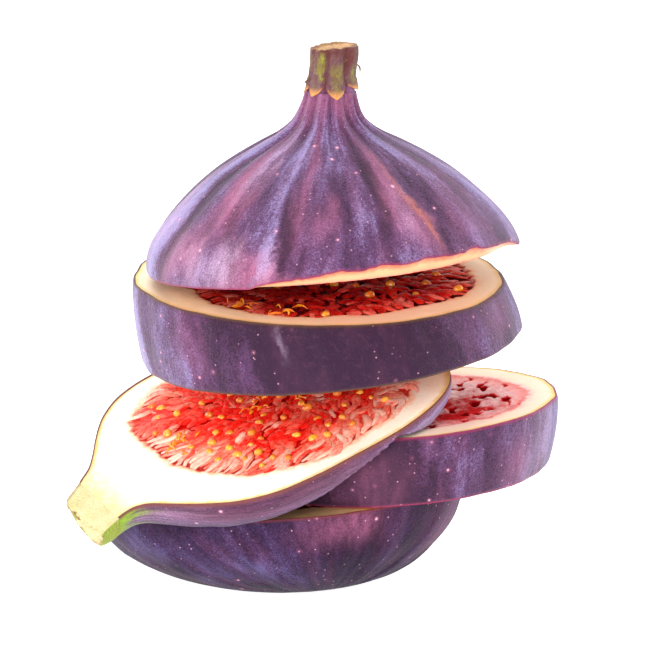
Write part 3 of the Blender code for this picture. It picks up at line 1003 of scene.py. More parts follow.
@dataclass
class CrossPiece:
    """A piece of the fig between crosswise cuts."""

    node: str
    slot: str
    phase: float
    soft_patches: tuple[Patch, ...]
    finish: SkinFinish
    flesh: FleshFinish

    rind: float = 3.2  # flesh between skin and pulp
    # turn, and how much thicker the rind is there
    thicker: tuple[Pair, ...] = ((0, 0.0), (180, 0.0))
    bed_depth: float = 0.7
    pits: float = 0.0  # depth of the torn pits in the pulp
    pit_spot: Pair = (10.5, -3.5)  # where they are deepest, from the cut's middle
    bed_rings: int = 24
    rows: int = 100

    def __post_init__(self) -> None:
        """Draws the unevenness and finds the piece's middle."""
        self.lumps = Lumps(len(self.node) * 7 + int(10 * self.phase))
        self.middle = middle_of(self.node)
        self.angle = turns(AROUND)

    def wall(self, share: Array) -> Array:
        """Rings of the outer skin at these shares of its height."""
        raise NotImplementedError

    def shares(self) -> tuple[Array, bool]:
        """Shares of the height that the skin is drawn at, and whether it is a band."""
        raise NotImplementedError

    def flesh_body(self) -> Body:
        """The flesh with its marks."""
        raise NotImplementedError

    def pressed(self, rings: Array, by: float) -> Array:
        """Rings moved in towards their axis."""
        out = (rings - rings.mean(1, keepdims=True)) * (1, 1, 0)
        return rings - unit(out) * by

    def skin_body(self, share: Array, looped: bool) -> Body:
        """The skin shell.

        Args:
            share: Shares of the height the outer surface is drawn at.
            looped: Whether the shell is open at both ends, as a band.

        Returns:
            The closed shell with its marks.
        """
        outer = self.wall(share)
        inner_share = np.linspace(share[-1], share[0], INNER_RINGS)
        rings = np.vstack([outer, self.pressed(self.wall(inner_share), SKIN)])
        body = loft(rings, looped)
        all_share = np.concatenate([share, inner_share])
        step = np.linalg.norm(np.diff(outer, axis=0), axis=-1)
        length = np.vstack([np.zeros(AROUND), np.cumsum(step, axis=0)])
        total = length[-1]
        length = np.vstack([length, total * all_share[len(share) :, None]])
        angle = np.broadcast_to(self.angle, length.shape)
        shares = np.broadcast_to(all_share[:, None], length.shape)
        round_fig, along_fig = self.flow(rings, length)
        rib = crest(round_fig, self.phase)
        marks = skin_marks(angle, shares, along_fig, rib, self.soft_patches, self.lumps)
        marks["grain"] = laid_round(round_fig, along_fig)
        near = np.minimum(length, total - length) if looped else self.from_cut(length, total)
        marks["edge"] = 0.85 * bump(near, 0.28)
        marks["edge"][len(share) :] = 1.0
        ends = 0 if looped else 2
        for name, value in marks.items():
            flat = value.reshape(len(rings) * AROUND, -1).squeeze()
            body.marks[name] = np.concatenate([flat, np.repeat(flat[:1], ends, 0)])
        return body

    def from_cut(self, length: Array, total: Array) -> Array:
        """Distance along the skin from its only cut edge, the upper one."""
        return total - length

    def flow(self, outer: Array, length: Array) -> tuple[Array, Array]:
        """Which way the streaks run: the angle round the fig and the distance along it."""
        return np.broadcast_to(self.angle, length.shape), length

    def face_rings(self, edge: Array, cut: Cut, upward: bool) -> tuple[Array, ...]:
        """Rings of a cut face from its edge to its middle.

        Args:
            edge: Ring of the flesh's edge on the cut.
            cut: The cut.
            upward: Whether the face looks up.

        Returns:
            The rings, the distance of each point from the skin, how far it is in the pulp, and
            how deep in a torn pit.
        """
        radius = np.linalg.norm(edge[:, :2] - cut.point[:2], axis=1).mean()
        close = np.linspace(0, self.rind + CLOSE_REACH, CLOSE_RINGS)
        steps = np.append(close, np.linspace(self.rind + BED_START, radius - AXIS_RING, self.bed_rings))
        flat = cut.point[:2] + (edge[:, :2] - cut.point[:2]) * (1 - steps / radius)[:, None, None]
        x, y = flat[..., 0], flat[..., 1]
        spot = np.stack([x, y, np.zeros_like(x)], -1)
        inward = np.broadcast_to(steps[:, None], x.shape)
        pulp = inward - self.rind_at(self.angle) - 0.3 * self.lumps.at(spot, 0.9)
        dip = held(pulp / DIP_WIDTH)
        drop = self.bed_depth * dip * dip * (3 - 2 * dip)
        drop = drop + 0.05 * self.lumps.at(spot, 1.6) * held(inward / 0.5)
        torn = self.lumps.at(spot * (0.6, 0.45, 1), 1.0)
        torn = torn + 0.6 * self.lumps.at(spot * (0.7, 0.5, 1), 0.5)
        centre = cut.point[:2] + self.pit_spot
        worst = np.exp(-(((x - centre[0]) / 6.5) ** 2) - ((y - centre[1]) / 7.5) ** 2)
        red = np.exp(-(((x - centre[0] + 2.5) / 8.5) ** 2) - ((y - centre[1] + 5) / 10) ** 2)
        pit = held(torn * 3.4 - 2.0 + 1.9 * worst) * dip * (self.pits > 0)
        ripple = self.lumps.at(spot * (1, 0.5, 1), 0.5)
        sore = red * (0.5 + 0.4 * self.lumps.at(spot * (0.6, 0.4, 1), 1.4)) * dip * (self.pits > 0)
        drop = drop + self.pits * (pit + (0.2 + 0.35 * worst) * ripple * dip)
        sign = -1.0 if upward else 1.0
        z = cut.height(x, y) + sign * drop
        return np.stack([x, y, z], -1), inward, pulp, np.maximum(pit, sore)

    def rind_at(self, angle: Array) -> Array:
        """Thickness of the flesh between skin and pulp.

        Args:
            angle: Angles round the piece.

        Returns:
            The thickness at each.
        """
        table = np.array(self.thicker, float)
        table = np.vstack([table[-1:] - (360, 0), table, table[:1] + (360, 0), table[1:2] + (360, 0)])
        uneven = 0.5 * self.lumps.at(laid_round(angle, 0 * angle, 20), 2.6)
        return self.rind + glide(table, np.degrees(angle) % 360)[:, 0] + uneven

    def build(self) -> None:
        """Makes the skin and the flesh."""
        skin = self.skin_body(*self.shares())
        piece(self.node + "_skin", skin, self.finish.make(), self.slot, self.node)
        piece(self.node + "_flesh", self.flesh_body(), self.flesh.make(), self.slot)

    def pulp_field(self, cut: Cut, radius: float, **sizes: object) -> PulpField:
        """The strands and seeds of a cut face that looks up.

        Args:
            cut: The cut.
            radius: Radius of the flesh there.
            sizes: Sizes that differ from the field's own.

        Returns:
            The field.
        """
        along, across, out = cut.frame()
        turn = turns(160)
        ring = np.stack([np.cos(turn), np.sin(turn)], -1) * (radius - self.rind_at(turn))[:, None]
        return PulpField(cut.point, along, across, out, ring, **sizes)


@dataclass
class Slice(CrossPiece):
    """A slice between two crosswise cuts."""

    low: Spot = (0, 0, 0)  # middle of its lower cut from the box's middle
    high: Spot = (0, 0, 0)
    low_climb: Pair = (0, 0)
    high_climb: Pair = (0, 0)
    low_radius: float = 22.0
    high_radius: float = 23.0
    swell: float = 0.45

    def __post_init__(self) -> None:
        """Places the two cuts."""
        super().__post_init__()
        self.low_cut = Cut(self.middle + self.low, *self.low_climb)
        self.high_cut = Cut(self.middle + self.high, *self.high_climb)

    def wall(self, share: Array) -> Array:
        """The slightly swollen wall.

        Args:
            share: Shares of its height.

        Returns:
            A ring at each.
        """
        share = share[:, None]
        radius = self.low_radius + (self.high_radius - self.low_radius) * share
        radius = radius + self.swell * (1 - (2 * share - 1) ** 2)
        radius = radius * (1 + folds(self.angle, 0.006, self.phase)) - 0.06
        spot = laid_round(self.angle, 10 * share)
        radius = radius + 0.1 * self.lumps.at(spot * (1, 1, 0.25), 2.4)
        for end in (0.0, 1.0):
            radius = radius - 0.16 * bump((share - end) * 10, 0.3)
        low, high = self.low_cut, self.high_cut
        x = low.point[0] + (high.point[0] - low.point[0]) * share + radius * np.cos(self.angle)
        y = low.point[1] + (high.point[1] - low.point[1]) * share + radius * np.sin(self.angle)
        return np.stack([x, y, low.height(x, y) * (1 - share) + high.height(x, y) * share], -1)

    def flesh_body(self) -> Body:
        """The flesh between the two cut faces."""
        edges = self.pressed(self.wall(np.linspace(0, 1, 6)), SKIN + 0.01)
        under, under_in, under_pulp, under_pit = self.face_rings(edges[0], self.low_cut, False)
        top, top_in, top_pulp, top_pit = self.face_rings(edges[-1], self.high_cut, True)
        rings = np.vstack([under[::-1], edges[1:-1], top])
        side = np.zeros((4, AROUND))
        body = loft(rings)
        for name, low, wall, high, middle in (
            ("inward", under_in, side, top_in, 9),
            ("pulp", under_pulp, side - 5, top_pulp, 9),
            ("pit", under_pit, side, top_pit, 0),
        ):
            body.marks[name] = np.append(np.vstack([low[::-1], wall, high]).ravel(), [middle, middle])
        return body

    def shares(self) -> tuple[Array, bool]:
        """Shares of the height that the skin is drawn at, and that it is a band."""
        middle = np.linspace(0.035, 0.965, self.rows)
        return np.concatenate([[0, 0.008, 0.02], middle, [0.98, 0.992, 1]]), True

    def dress(self, look: Looks, **sizes: object) -> None:
        """Fills the pulp of the upper cut with strands, seeds and fibres of these materials."""
        top = self.pulp_field(self.high_cut, self.high_radius - SKIN, **sizes)
        top.build(self.node, self.slot, look, torn=self.pits > 0)


@dataclass
class BasePiece(CrossPiece):
    """The blossom end: a bowl resting on a small flat spot beside the eye of the fig."""

    foot: Spot = (1.2, 0.13, -7.716)  # flat spot's middle from the box's middle
    tip: Spot = (6.6, -13.0, -13.7)  # where the eye of the fig points
    axis_shift: float = -1.4
    rim_radius: float = 28.7
    pulp_radius: float = 28.0  # of the flesh at the cut
    cut_rise: float = 13.3
    climb: Pair = (0.05, -0.055)
    profile: tuple[Pair, ...] = (
        (0.0, 13.4), (0.35, 15.7), (1.1, 18.3), (2.4, 21.0), (4.0, 23.3), (6.0, 25.4), (8.2, 27.1),
        (10.4, 28.1), (12.4, 28.6), (16.0, 28.8),
    )

    def __post_init__(self) -> None:
        """Places the cut."""
        super().__post_init__()
        self.rest = self.middle + self.foot
        self.cut = Cut(self.rest + (self.axis_shift, 0, self.cut_rise), *self.climb)

    def wall(self, share: Array) -> Array:
        """The bowl.

        Args:
            share: Shares of its height. Those below 0 lie on the flat spot, and -1 is its middle.

        Returns:
            A ring at each.
        """
        up = held(share)[:, None]
        rim_x = self.rest[0] + self.axis_shift + self.rim_radius * np.cos(self.angle)
        z = self.cut.height(rim_x, self.rim_radius * np.sin(self.angle)) * up
        radius = glide(np.array(self.profile), z.ravel())[:, 0].reshape(z.shape)
        depth = (0.006 + 0.01 * (1 - up)) * np.minimum(1, 6 * up)
        shift = self.axis_shift * np.minimum(1.0, up * 3)
        spot = np.stack([shift + radius * np.cos(self.angle), radius * np.sin(self.angle), z], -1)
        angle, _ = self.tilted(spot)
        wrinkle = 0.0018 * np.cos(43 * angle + 2 * np.sin(3 * angle))
        ribs = wrinkle * np.minimum(1, 6 * up) * (1.1 - up)
        radius = radius * (1 + 0.7 * folds(angle, depth, self.phase) + ribs) - 0.16
        under = held(1 + share)[:, None]
        radius = radius * under
        z = z + 0.9 * held(1 - 5 * under) + 0.02
        x = self.rest[0] + shift + radius * np.cos(self.angle)
        return np.stack([x, self.rest[1] + radius * np.sin(self.angle), z], -1)

    def tilted(self, spot: Array) -> tuple[Array, Array]:
        """Follows the skin from the fig's own tip, which leans out to one side.

        Args:
            spot: Places measured from the middle of the flat spot.

        Returns:
            The angle round the leaning axis, and the distance along the skin from the tip.
        """
        tip = np.array(self.tip) / np.linalg.norm(self.tip)
        side = np.cross(tip, [0, 1, 0])
        side /= np.linalg.norm(side)
        away = unit(spot - (self.axis_shift, 0, 14))
        angle = np.arctan2(away @ np.cross(side, tip), away @ side)
        return angle, PATTERN * np.arccos(np.clip(away @ tip, -1, 1))

    def flow(self, outer: Array, length: Array) -> tuple[Array, Array]:
        """Which way the streaks run."""
        return self.tilted(outer - (self.rest[0], self.rest[1], 0))

    def flesh_body(self) -> Body:
        """The flesh under the cut."""
        edges = self.pressed(self.wall(np.linspace(0.3, 1, 6)), SKIN + 0.02)
        edges[-1, :, 2] = self.cut.height(edges[-1, :, 0], edges[-1, :, 1])
        top, inward, pulp, _ = self.face_rings(edges[-1], self.cut, True)
        body = loft(np.vstack([edges[:-1], top]))
        side = np.zeros((5, AROUND))
        body.marks = {
            "inward": np.append(np.vstack([side, inward]).ravel(), [9, 9]),
            "pulp": np.append(np.vstack([side - 5, pulp]).ravel(), [-5, 9]),
        }
        return body

    def shares(self) -> tuple[Array, bool]:
        """Shares of the height that the skin is drawn at, and that it is no band."""
        wall = np.linspace(0, 1, self.rows + 20) ** 1.35
        return np.append(np.linspace(-0.97, -0.03, 14), wall), False

    def dress(self, look: Looks, **sizes: object) -> None:
        """Fills the pulp of the cut with strands and seeds of these materials."""
        self.pulp_field(self.cut, self.pulp_radius, **sizes).build(self.node, self.slot, look)


@dataclass
class CapPiece(CrossPiece):
    """The stalk end: a dome whose folds gather into a narrow neck."""

    cut_point: Spot = (0.034, -0.27, -10.513)  # from the box's middle
    climb: Pair = (0.083, -0.058)
    lip_rise: float = 1.9
    rim_radius: float = 27.2
    # height above the cut's middle, shift of the axis, radius
    profile: tuple[Spot, ...] = (
        (-3.05, 0.0, 27.0), (-0.35, 0.05, 27.25), (1.95, 0.2, 26.9), (4.15, 0.35, 25.9),
        (6.55, 0.45, 24.2), (8.85, 0.4, 22.1), (11.15, 0.3, 19.6), (13.15, 0.2, 17.0),
        (15.15, 0.05, 13.8), (16.95, -0.15, 10.5), (18.55, -0.45, 7.4), (19.95, -0.6, 5.6),
        (21.35, -0.7, 4.6), (22.75, -0.65, 4.05), (23.75, -0.6, 3.8), (24.6, -0.55, 3.62),
    )

    def __post_init__(self) -> None:
        """Places the cut."""
        super().__post_init__()
        self.cut = Cut(self.middle + self.cut_point, *self.climb)

    def lip(self) -> Array:
        """How far the skin's edge rises above the cut, which it does only on the front right."""
        spot = laid_round(self.angle, 0 * self.angle)
        ragged = 1 + 0.16 * self.lumps.at(spot, 3.4) + 0.07 * self.lumps.at(spot, 0.8)
        raised = held(1 - (off_turn(self.angle, 300) / 56) ** 2) ** 0.6
        return self.lip_rise * raised * ragged

    def wall(self, share: Array) -> Array:
        """The dome.

        Args:
            share: Shares of its height.

        Returns:
            A ring at each.
        """
        share = share[:, None]
        point = self.cut.point
        rim = laid_round(self.angle, 0, self.rim_radius) + point
        foot = self.cut.height(rim[:, 0], rim[:, 1]) + self.lip()
        top = point[2] + self.profile[-1][0]
        z = foot + (top - foot) * share
        shape = glide(np.array(self.profile), (z - point[2]).ravel())
        shift, radius = shape[:, 0].reshape(z.shape), shape[:, 1].reshape(z.shape)
        neck = bump(share - 0.88, 0.18)
        dome = held(1.6 - 2 * np.abs(share - 0.45)) * held(share * 5)
        furrow = crest(self.angle, self.phase) - 0.75
        bend = folds(self.angle, 0.004 + 0.03 * neck, self.phase)
        radius = radius * (1 + bend + (0.16 * neck + 0.014 * dome) * furrow)
        spot = laid_round(self.angle, 30 * share)
        uneven = 0.12 * self.lumps.at(spot * (1, 1, 0.25), 3.0)
        radius = radius + uneven * np.minimum(1, radius / 12) - 0.06
        radius = radius - 0.2 * bump(share * 26, 0.35)
        x, y = point[0] + shift + radius * np.cos(self.angle), point[1] + radius * np.sin(self.angle)
        return np.stack([x, y, z], -1)

    def from_cut(self, length: Array, total: Array) -> Array:
        """Distance along the skin from its only cut edge, the lower one."""
        return length

    def flesh_body(self) -> Body:
        """The flesh over the cut, which reaches down past the skin's raised lip."""
        edges = self.pressed(self.wall(np.linspace(0.35, 0, 6)), SKIN + 0.02)
        inset = self.pressed(edges[-1:], 2.0)
        inset[..., 2] = self.cut.height(inset[..., 0], inset[..., 1])
        under, inward, pulp, _ = self.face_rings(inset[0], self.cut, False)
        pulp[:2] = 0.35
        rings = np.vstack([edges, under])
        body = loft(rings[::-1])
        side = np.zeros((6, AROUND))
        body.marks = {
            "inward": np.append(np.vstack([side, inward + 1.6])[::-1].ravel(), [9, 0]),
            "pulp": np.append(np.vstack([side - 5, pulp])[::-1].ravel(), [9, -5]),
        }
        return body

    def shares(self) -> tuple[Array, bool]:
        """Shares of the height that the skin is drawn at, and that it is no band."""
        return np.append([0, 0.004, 0.01, 0.016], np.linspace(0.024, 1, self.rows + 30)), False


# ---- stalk and scales


@dataclass
class Stalk:
    """The cut stalk on the neck: a lobed post, the dried scales round its foot and a few slivers."""

    axis: Pair = (-0.06, 0.0)  # foot of the stalk from the box's middle
    # height above the foot, shift of the axis, radius
    profile: tuple[Spot, ...] = (
        (-0.25, -0.1, 3.3), (0.9, -0.05, 3.4), (3.0, 0.05, 3.38), (4.8, 0.2, 3.4), (6.2, 0.34, 3.44),
    )
    lobes: int = 7
    furrow_turn: float = 254.0
    furrow: float = 0.13
    reaches: tuple[float, ...] = (3.6, 2.5, 2.7, 3.0, 3.2, 3.3, 3.35)  # how far each lobe's scale hangs
    top_climb: float = 0.13  # the torn top rises to the right
    tallest: float = 7.07
    scale_rows: int = 22
    scale_across: int = 15
    scale_thick: float = 0.22
    sliver_rings: int = 9
    sliver_around: int = 8
    # how far in and down each ring of the torn top lies, and how pale it is
    torn_top: tuple[Spot, ...] = (
        (0.05, -0.02, 0.25), (0.13, 0.1, 0.5), (0.22, 0.34, 0.9), (0.36, 0.26, 1.0), (0.55, 0.2, 1.0),
        (0.75, 0.3, 0.95), (0.92, 0.4, 0.9),
    )
    # turn, height, radius, reach down and reach outwards of each dry sliver
    slivers: tuple[tuple[float, ...], ...] = (
        (352, 4.4, 3.5, 1.3, 0.75), (192, 2.4, 3.5, 1.0, 0.6), (300, 5.6, 3.5, 0.8, 0.35),
    )

    def __post_init__(self) -> None:
        """Places the foot."""
        self.lumps = Lumps(31)
        middle = middle_of("cap_stalk")
        low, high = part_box("cap_stalk")
        self.foot = np.array([middle[0] + self.axis[0], middle[1] + self.axis[1], low.z / MM])
        self.widest = high.x / MM - self.foot[0] - 0.05

    def furrow_at(self, angle: Array) -> Array:
        """1 in the bottom of a furrow, 0 on a lobe."""
        return (0.5 + 0.5 * np.cos(self.lobes * (angle - math.radians(self.furrow_turn)))) ** 3

    def stain(self, angle: Array, height: Array, rough: Array) -> Marks:
        """Where the stalk is mauve, dark or rusty rather than green.

        Args:
            angle: Angle of each point.
            height: Its height above the foot.
            rough: Unevenness there.

        Returns:
            The marks by name.
        """
        turn = np.degrees(angle) % 360

        def near(at: float, wide: float, level: float, tall: float) -> Array:
            """How strongly a soft patch on the post shows."""
            return np.exp(-(((turn - at) / wide) ** 2) - ((height - level) / tall) ** 2)

        fresh = 1.2 * near(240, 12, 4.8, 1.6) + 0.5 * near(322, 14, 3.0, 1.4)
        fresh = fresh + 0.4 * near(276, 12, 2.8, 1.6) + 0.5 * near(284, 16, 0.9, 0.7)
        fresh = fresh + 0.6 * near(110, 40, 3.4, 2.0)
        mauve = 0.72 + 0.5 * self.furrow_at(angle) + 0.75 * rough - 1.2 * fresh + held(2.2 - height)
        rust = 1.3 * near(325, 26, 5.8, 1.6) + 1.4 * near(268, 50, 6.8, 0.8)
        rust = rust + 1.0 * near(195, 30, 6.4, 0.7)
        crease = 0.7 * self.furrow_at(angle) ** 2 + rust + 0.35 * held(rough - 0.1)
        return {"brown": held(mauve), "crease": held(crease)}

    def roughness(self, spot: Array) -> Array:
        """Unevenness of the bark at places on it."""
        return self.lumps.at(spot, 1.3) + 0.4 * self.lumps.at(spot, 0.5)

    def post_body(self) -> Body:
        """The post with its torn, sloping top."""
        angle = turns(168)
        share = np.linspace(0, 1, 50)
        heights = self.profile[0][0] + (self.profile[-1][0] - self.profile[0][0]) * share
        shape = glide(np.array(self.profile), heights)
        spot = laid_round(angle, heights[:, None] * 0.5, 4)
        rough = self.roughness(spot)
        radius = shape[:, 1:] * (1 - self.furrow * self.furrow_at(angle)) + 0.17 * rough
        bulge = np.exp(-((off_turn(angle, 338) / 26) ** 2) - ((heights[:, None] - 5.0) / 1.5) ** 2)
        radius = radius + 0.42 * bulge
        torn = 0.35 * self.lumps.at(spot[-1], 0.9) + 0.12 * self.lumps.at(spot[-1], 0.35)
        x = np.minimum(shape[:, :1] + radius * np.cos(angle), self.widest)
        front, behind = bump(np.degrees(angle) - 262, 46), bump(np.degrees(angle) - 90, 75)
        rise = self.top_climb * x + 0.55 + 0.2 * front + 0.3 * behind
        z = heights[:, None] + share[:, None] ** 2 * rise
        z = z + torn * held(share[:, None] * 4 - 3)
        wall = np.stack([x, radius * np.sin(angle), z], -1)
        rings = [wall]
        centre = wall[-1].mean(0)
        for inset, drop, _ in self.torn_top:
            ring = wall[-1] + (centre - wall[-1]) * inset
            ring[:, 2] -= drop + 0.16 * self.lumps.at(ring * 2, 1.0)
            rings.append(ring[None])
        rings = np.vstack(rings)
        rings[..., 2] = np.minimum(rings[..., 2], self.tallest)
        body = loft(rings + self.foot)
        extra = len(rings) - len(wall)
        around = np.broadcast_to(angle, rings.shape[:2])
        rough = np.vstack([rough, np.repeat(rough[-1:], extra, 0)])
        marks = self.stain(around, rings[..., 2], rough)
        pale = bump((1 - share) * 6.6, 0.2)[:, None] * held(0.2 + rough[: len(wall)])
        inside = np.array(self.torn_top)[:, 2:]
        marks["pale"] = np.vstack([pale, np.broadcast_to(inside, (extra, len(angle)))])
        marks["brown"] = marks["brown"] + held((1.7 - rings[..., 2]) / 0.4)
        marks["crease"][len(wall) :] *= 0.25
        marks["crease"][len(wall) + 1 : len(wall) + 3] += 0.35
        grain = laid_round(around, rings[..., 2], 4)
        body.marks = {k: np.append(np.clip(v, 0, 2).ravel(), [0.5, 0.9]) for k, v in marks.items()}
        body.marks["grain"] = np.vstack([grain.reshape(-1, 3), grain[0, :2]])
        return body

    def scale(self, lobe: int, draw: np.random.Generator) -> tuple[Array, Marks]:
        """One lobe's pointed lower end.

        Args:
            lobe: Number of the lobe.
            draw: Where its small differences come from.

        Returns:
            The grids of its inner and then its outer side, and the marks of all their points.
        """
        turn = math.radians(self.furrow_turn + 360 / self.lobes * (lobe + 0.5) + draw.normal() * 1.5)
        reach, half = self.reaches[lobe] + 0.06 * draw.normal(), math.pi / self.lobes * 1.04
        down = np.linspace(0, 1, self.scale_rows)[:, None]
        side = np.linspace(-1, 1, self.scale_across)
        taper = held((down - 0.52) / 0.48)
        jag = 1 + 0.14 * np.sin(9 * down + 2 * lobe) * taper
        spread_out = np.maximum(half * (1 - taper**1.25) ** 0.85 * jag, 0.03)
        angle = turn + 0.05 * taper * math.sin(lobe * 2.1) + spread_out * side
        spot = np.stack(np.broadcast_arrays(4 * side + lobe, 5 * down, 0 * down), -1)
        curl = 0.34 * taper**2 + 0.06 * self.lumps.at(spot, 0.8)
        radius = 2.95 + 0.62 * held(down * 1.8) - 0.4 * np.abs(side) ** 3 * (1 - taper) + curl
        z = 3.4 - reach * down - 0.12 * taper * np.abs(side) * (1 - taper) + 0 * angle
        edge = held((np.abs(side) - 0.72) / 0.28) * held(taper * 4)
        layers = np.stack([laid_round(angle, z, radius + out) for out in (0, self.scale_thick)])
        stain = self.stain(angle % (2 * math.pi), z, self.roughness(layers))
        marks = spread(
            layers.shape[:3], pale=held(1.5 * taper - 0.35 + 0.7 * edge),
            brown=stain["brown"] * (1 - 0.6 * taper),
            crease=held(stain["crease"] * (1 - taper) + 0.25 * edge),
        )
        return layers, marks

    def sliver(self, turn: float, height: float, radius: float, down: float, out: float) -> Array:
        """One dry sliver.

        Args:
            turn: Where it grows, in degrees round the post.
            height: How high up.
            radius: Radius of the post there.
            down: How far it hangs.
            out: How far it stands out.

        Returns:
            Its rings.
        """
        share = np.linspace(0, 1, self.sliver_rings)[:, None]
        ring = turns(self.sliver_around)
        angle = math.radians(turn) + 0.1 * np.sin(5 * share)
        thick = 0.17 * np.sin(math.pi * (0.15 + 0.8 * share)) * (1 - 0.3 * share)
        far = radius - 0.15 + out * np.sin(1.9 * share) + thick * np.cos(ring)
        x, y = far * np.cos(angle), far * np.sin(angle) + thick * np.sin(ring)
        return np.stack([x, y, height - down * share**1.3 + 0.4 * thick * np.sin(ring)], -1)

    def scales_body(self) -> Body:
        """The scales, which are the lobes' lower ends over the neck, and the dry slivers."""
        points, faces, marks = [], [], {"pale": [], "brown": [], "crease": []}
        draw = np.random.default_rng(12)
        start = 0
        for lobe in range(self.lobes):
            layers, own = self.scale(lobe, draw)
            faces += self.shell_faces(self.scale_rows, self.scale_across, start)
            points.append(layers.reshape(-1, 3))
            start += len(points[-1])
            for name, value in own.items():
                marks[name].append(value)
        for sliver in self.slivers:
            tube = PulpField.tube_faces(1, self.sliver_rings, self.sliver_around)
            faces += [[v + start for v in face] for face in tube]
            points.append(self.sliver(*sliver).reshape(-1, 3))
            start += len(points[-1])
            for name, value in (("pale", 0.25), ("brown", 0.3), ("crease", 0.75)):
                marks[name].append(np.full(len(points[-1]), value))
        grain = np.vstack(points)
        joined = {name: np.concatenate(values) for name, values in marks.items()}
        return Body(grain + self.foot, faces, {**joined, "grain": grain})

    @staticmethod
    def shell_faces(rows: int, across: int, start: int) -> list[list[int]]:
        """Faces of a closed sheet given as its inner and then its outer grid of points.

        Args:
            rows: Rows of each grid.
            across: Points in a row.
            start: Number of the first point.

        Returns:
            The faces.
        """
        inner = start + np.arange(rows * across).reshape(rows, across)
        outer = inner + rows * across
        faces = []
        for i in range(rows - 1):
            for j in range(across - 1):
                for side, (a, c) in ((inner, (0, 1)), (outer, (1, 0))):
                    corners = (side[i, j], side[i + a, j + c], side[i + 1, j + 1], side[i + c, j + a])
                    faces.append([int(v) for v in corners])
        rim = np.concatenate([inner[0], inner[1:, -1], inner[-1, -2::-1], inner[-2:0:-1, 0]])
        over = rim + rows * across
        for a, b, c, d in zip(rim, np.roll(rim, -1), np.roll(over, -1), over):
            faces.append([int(v) for v in (b, a, d, c)])
        return faces

    def build(self) -> None:
        """Makes the post and the scales."""
        post = WoodyFinish("green stalk").make()
        piece("stalk_post", self.post_body(), post, "stalk_green", "cap_stalk")
        tan = WoodyFinish("scales", cut=paint(240, 160, 88)).make()
        piece("stalk_scales", self.scales_body(), tan, "scale_tan", "cap_bracts")


# ---- the lengthwise half


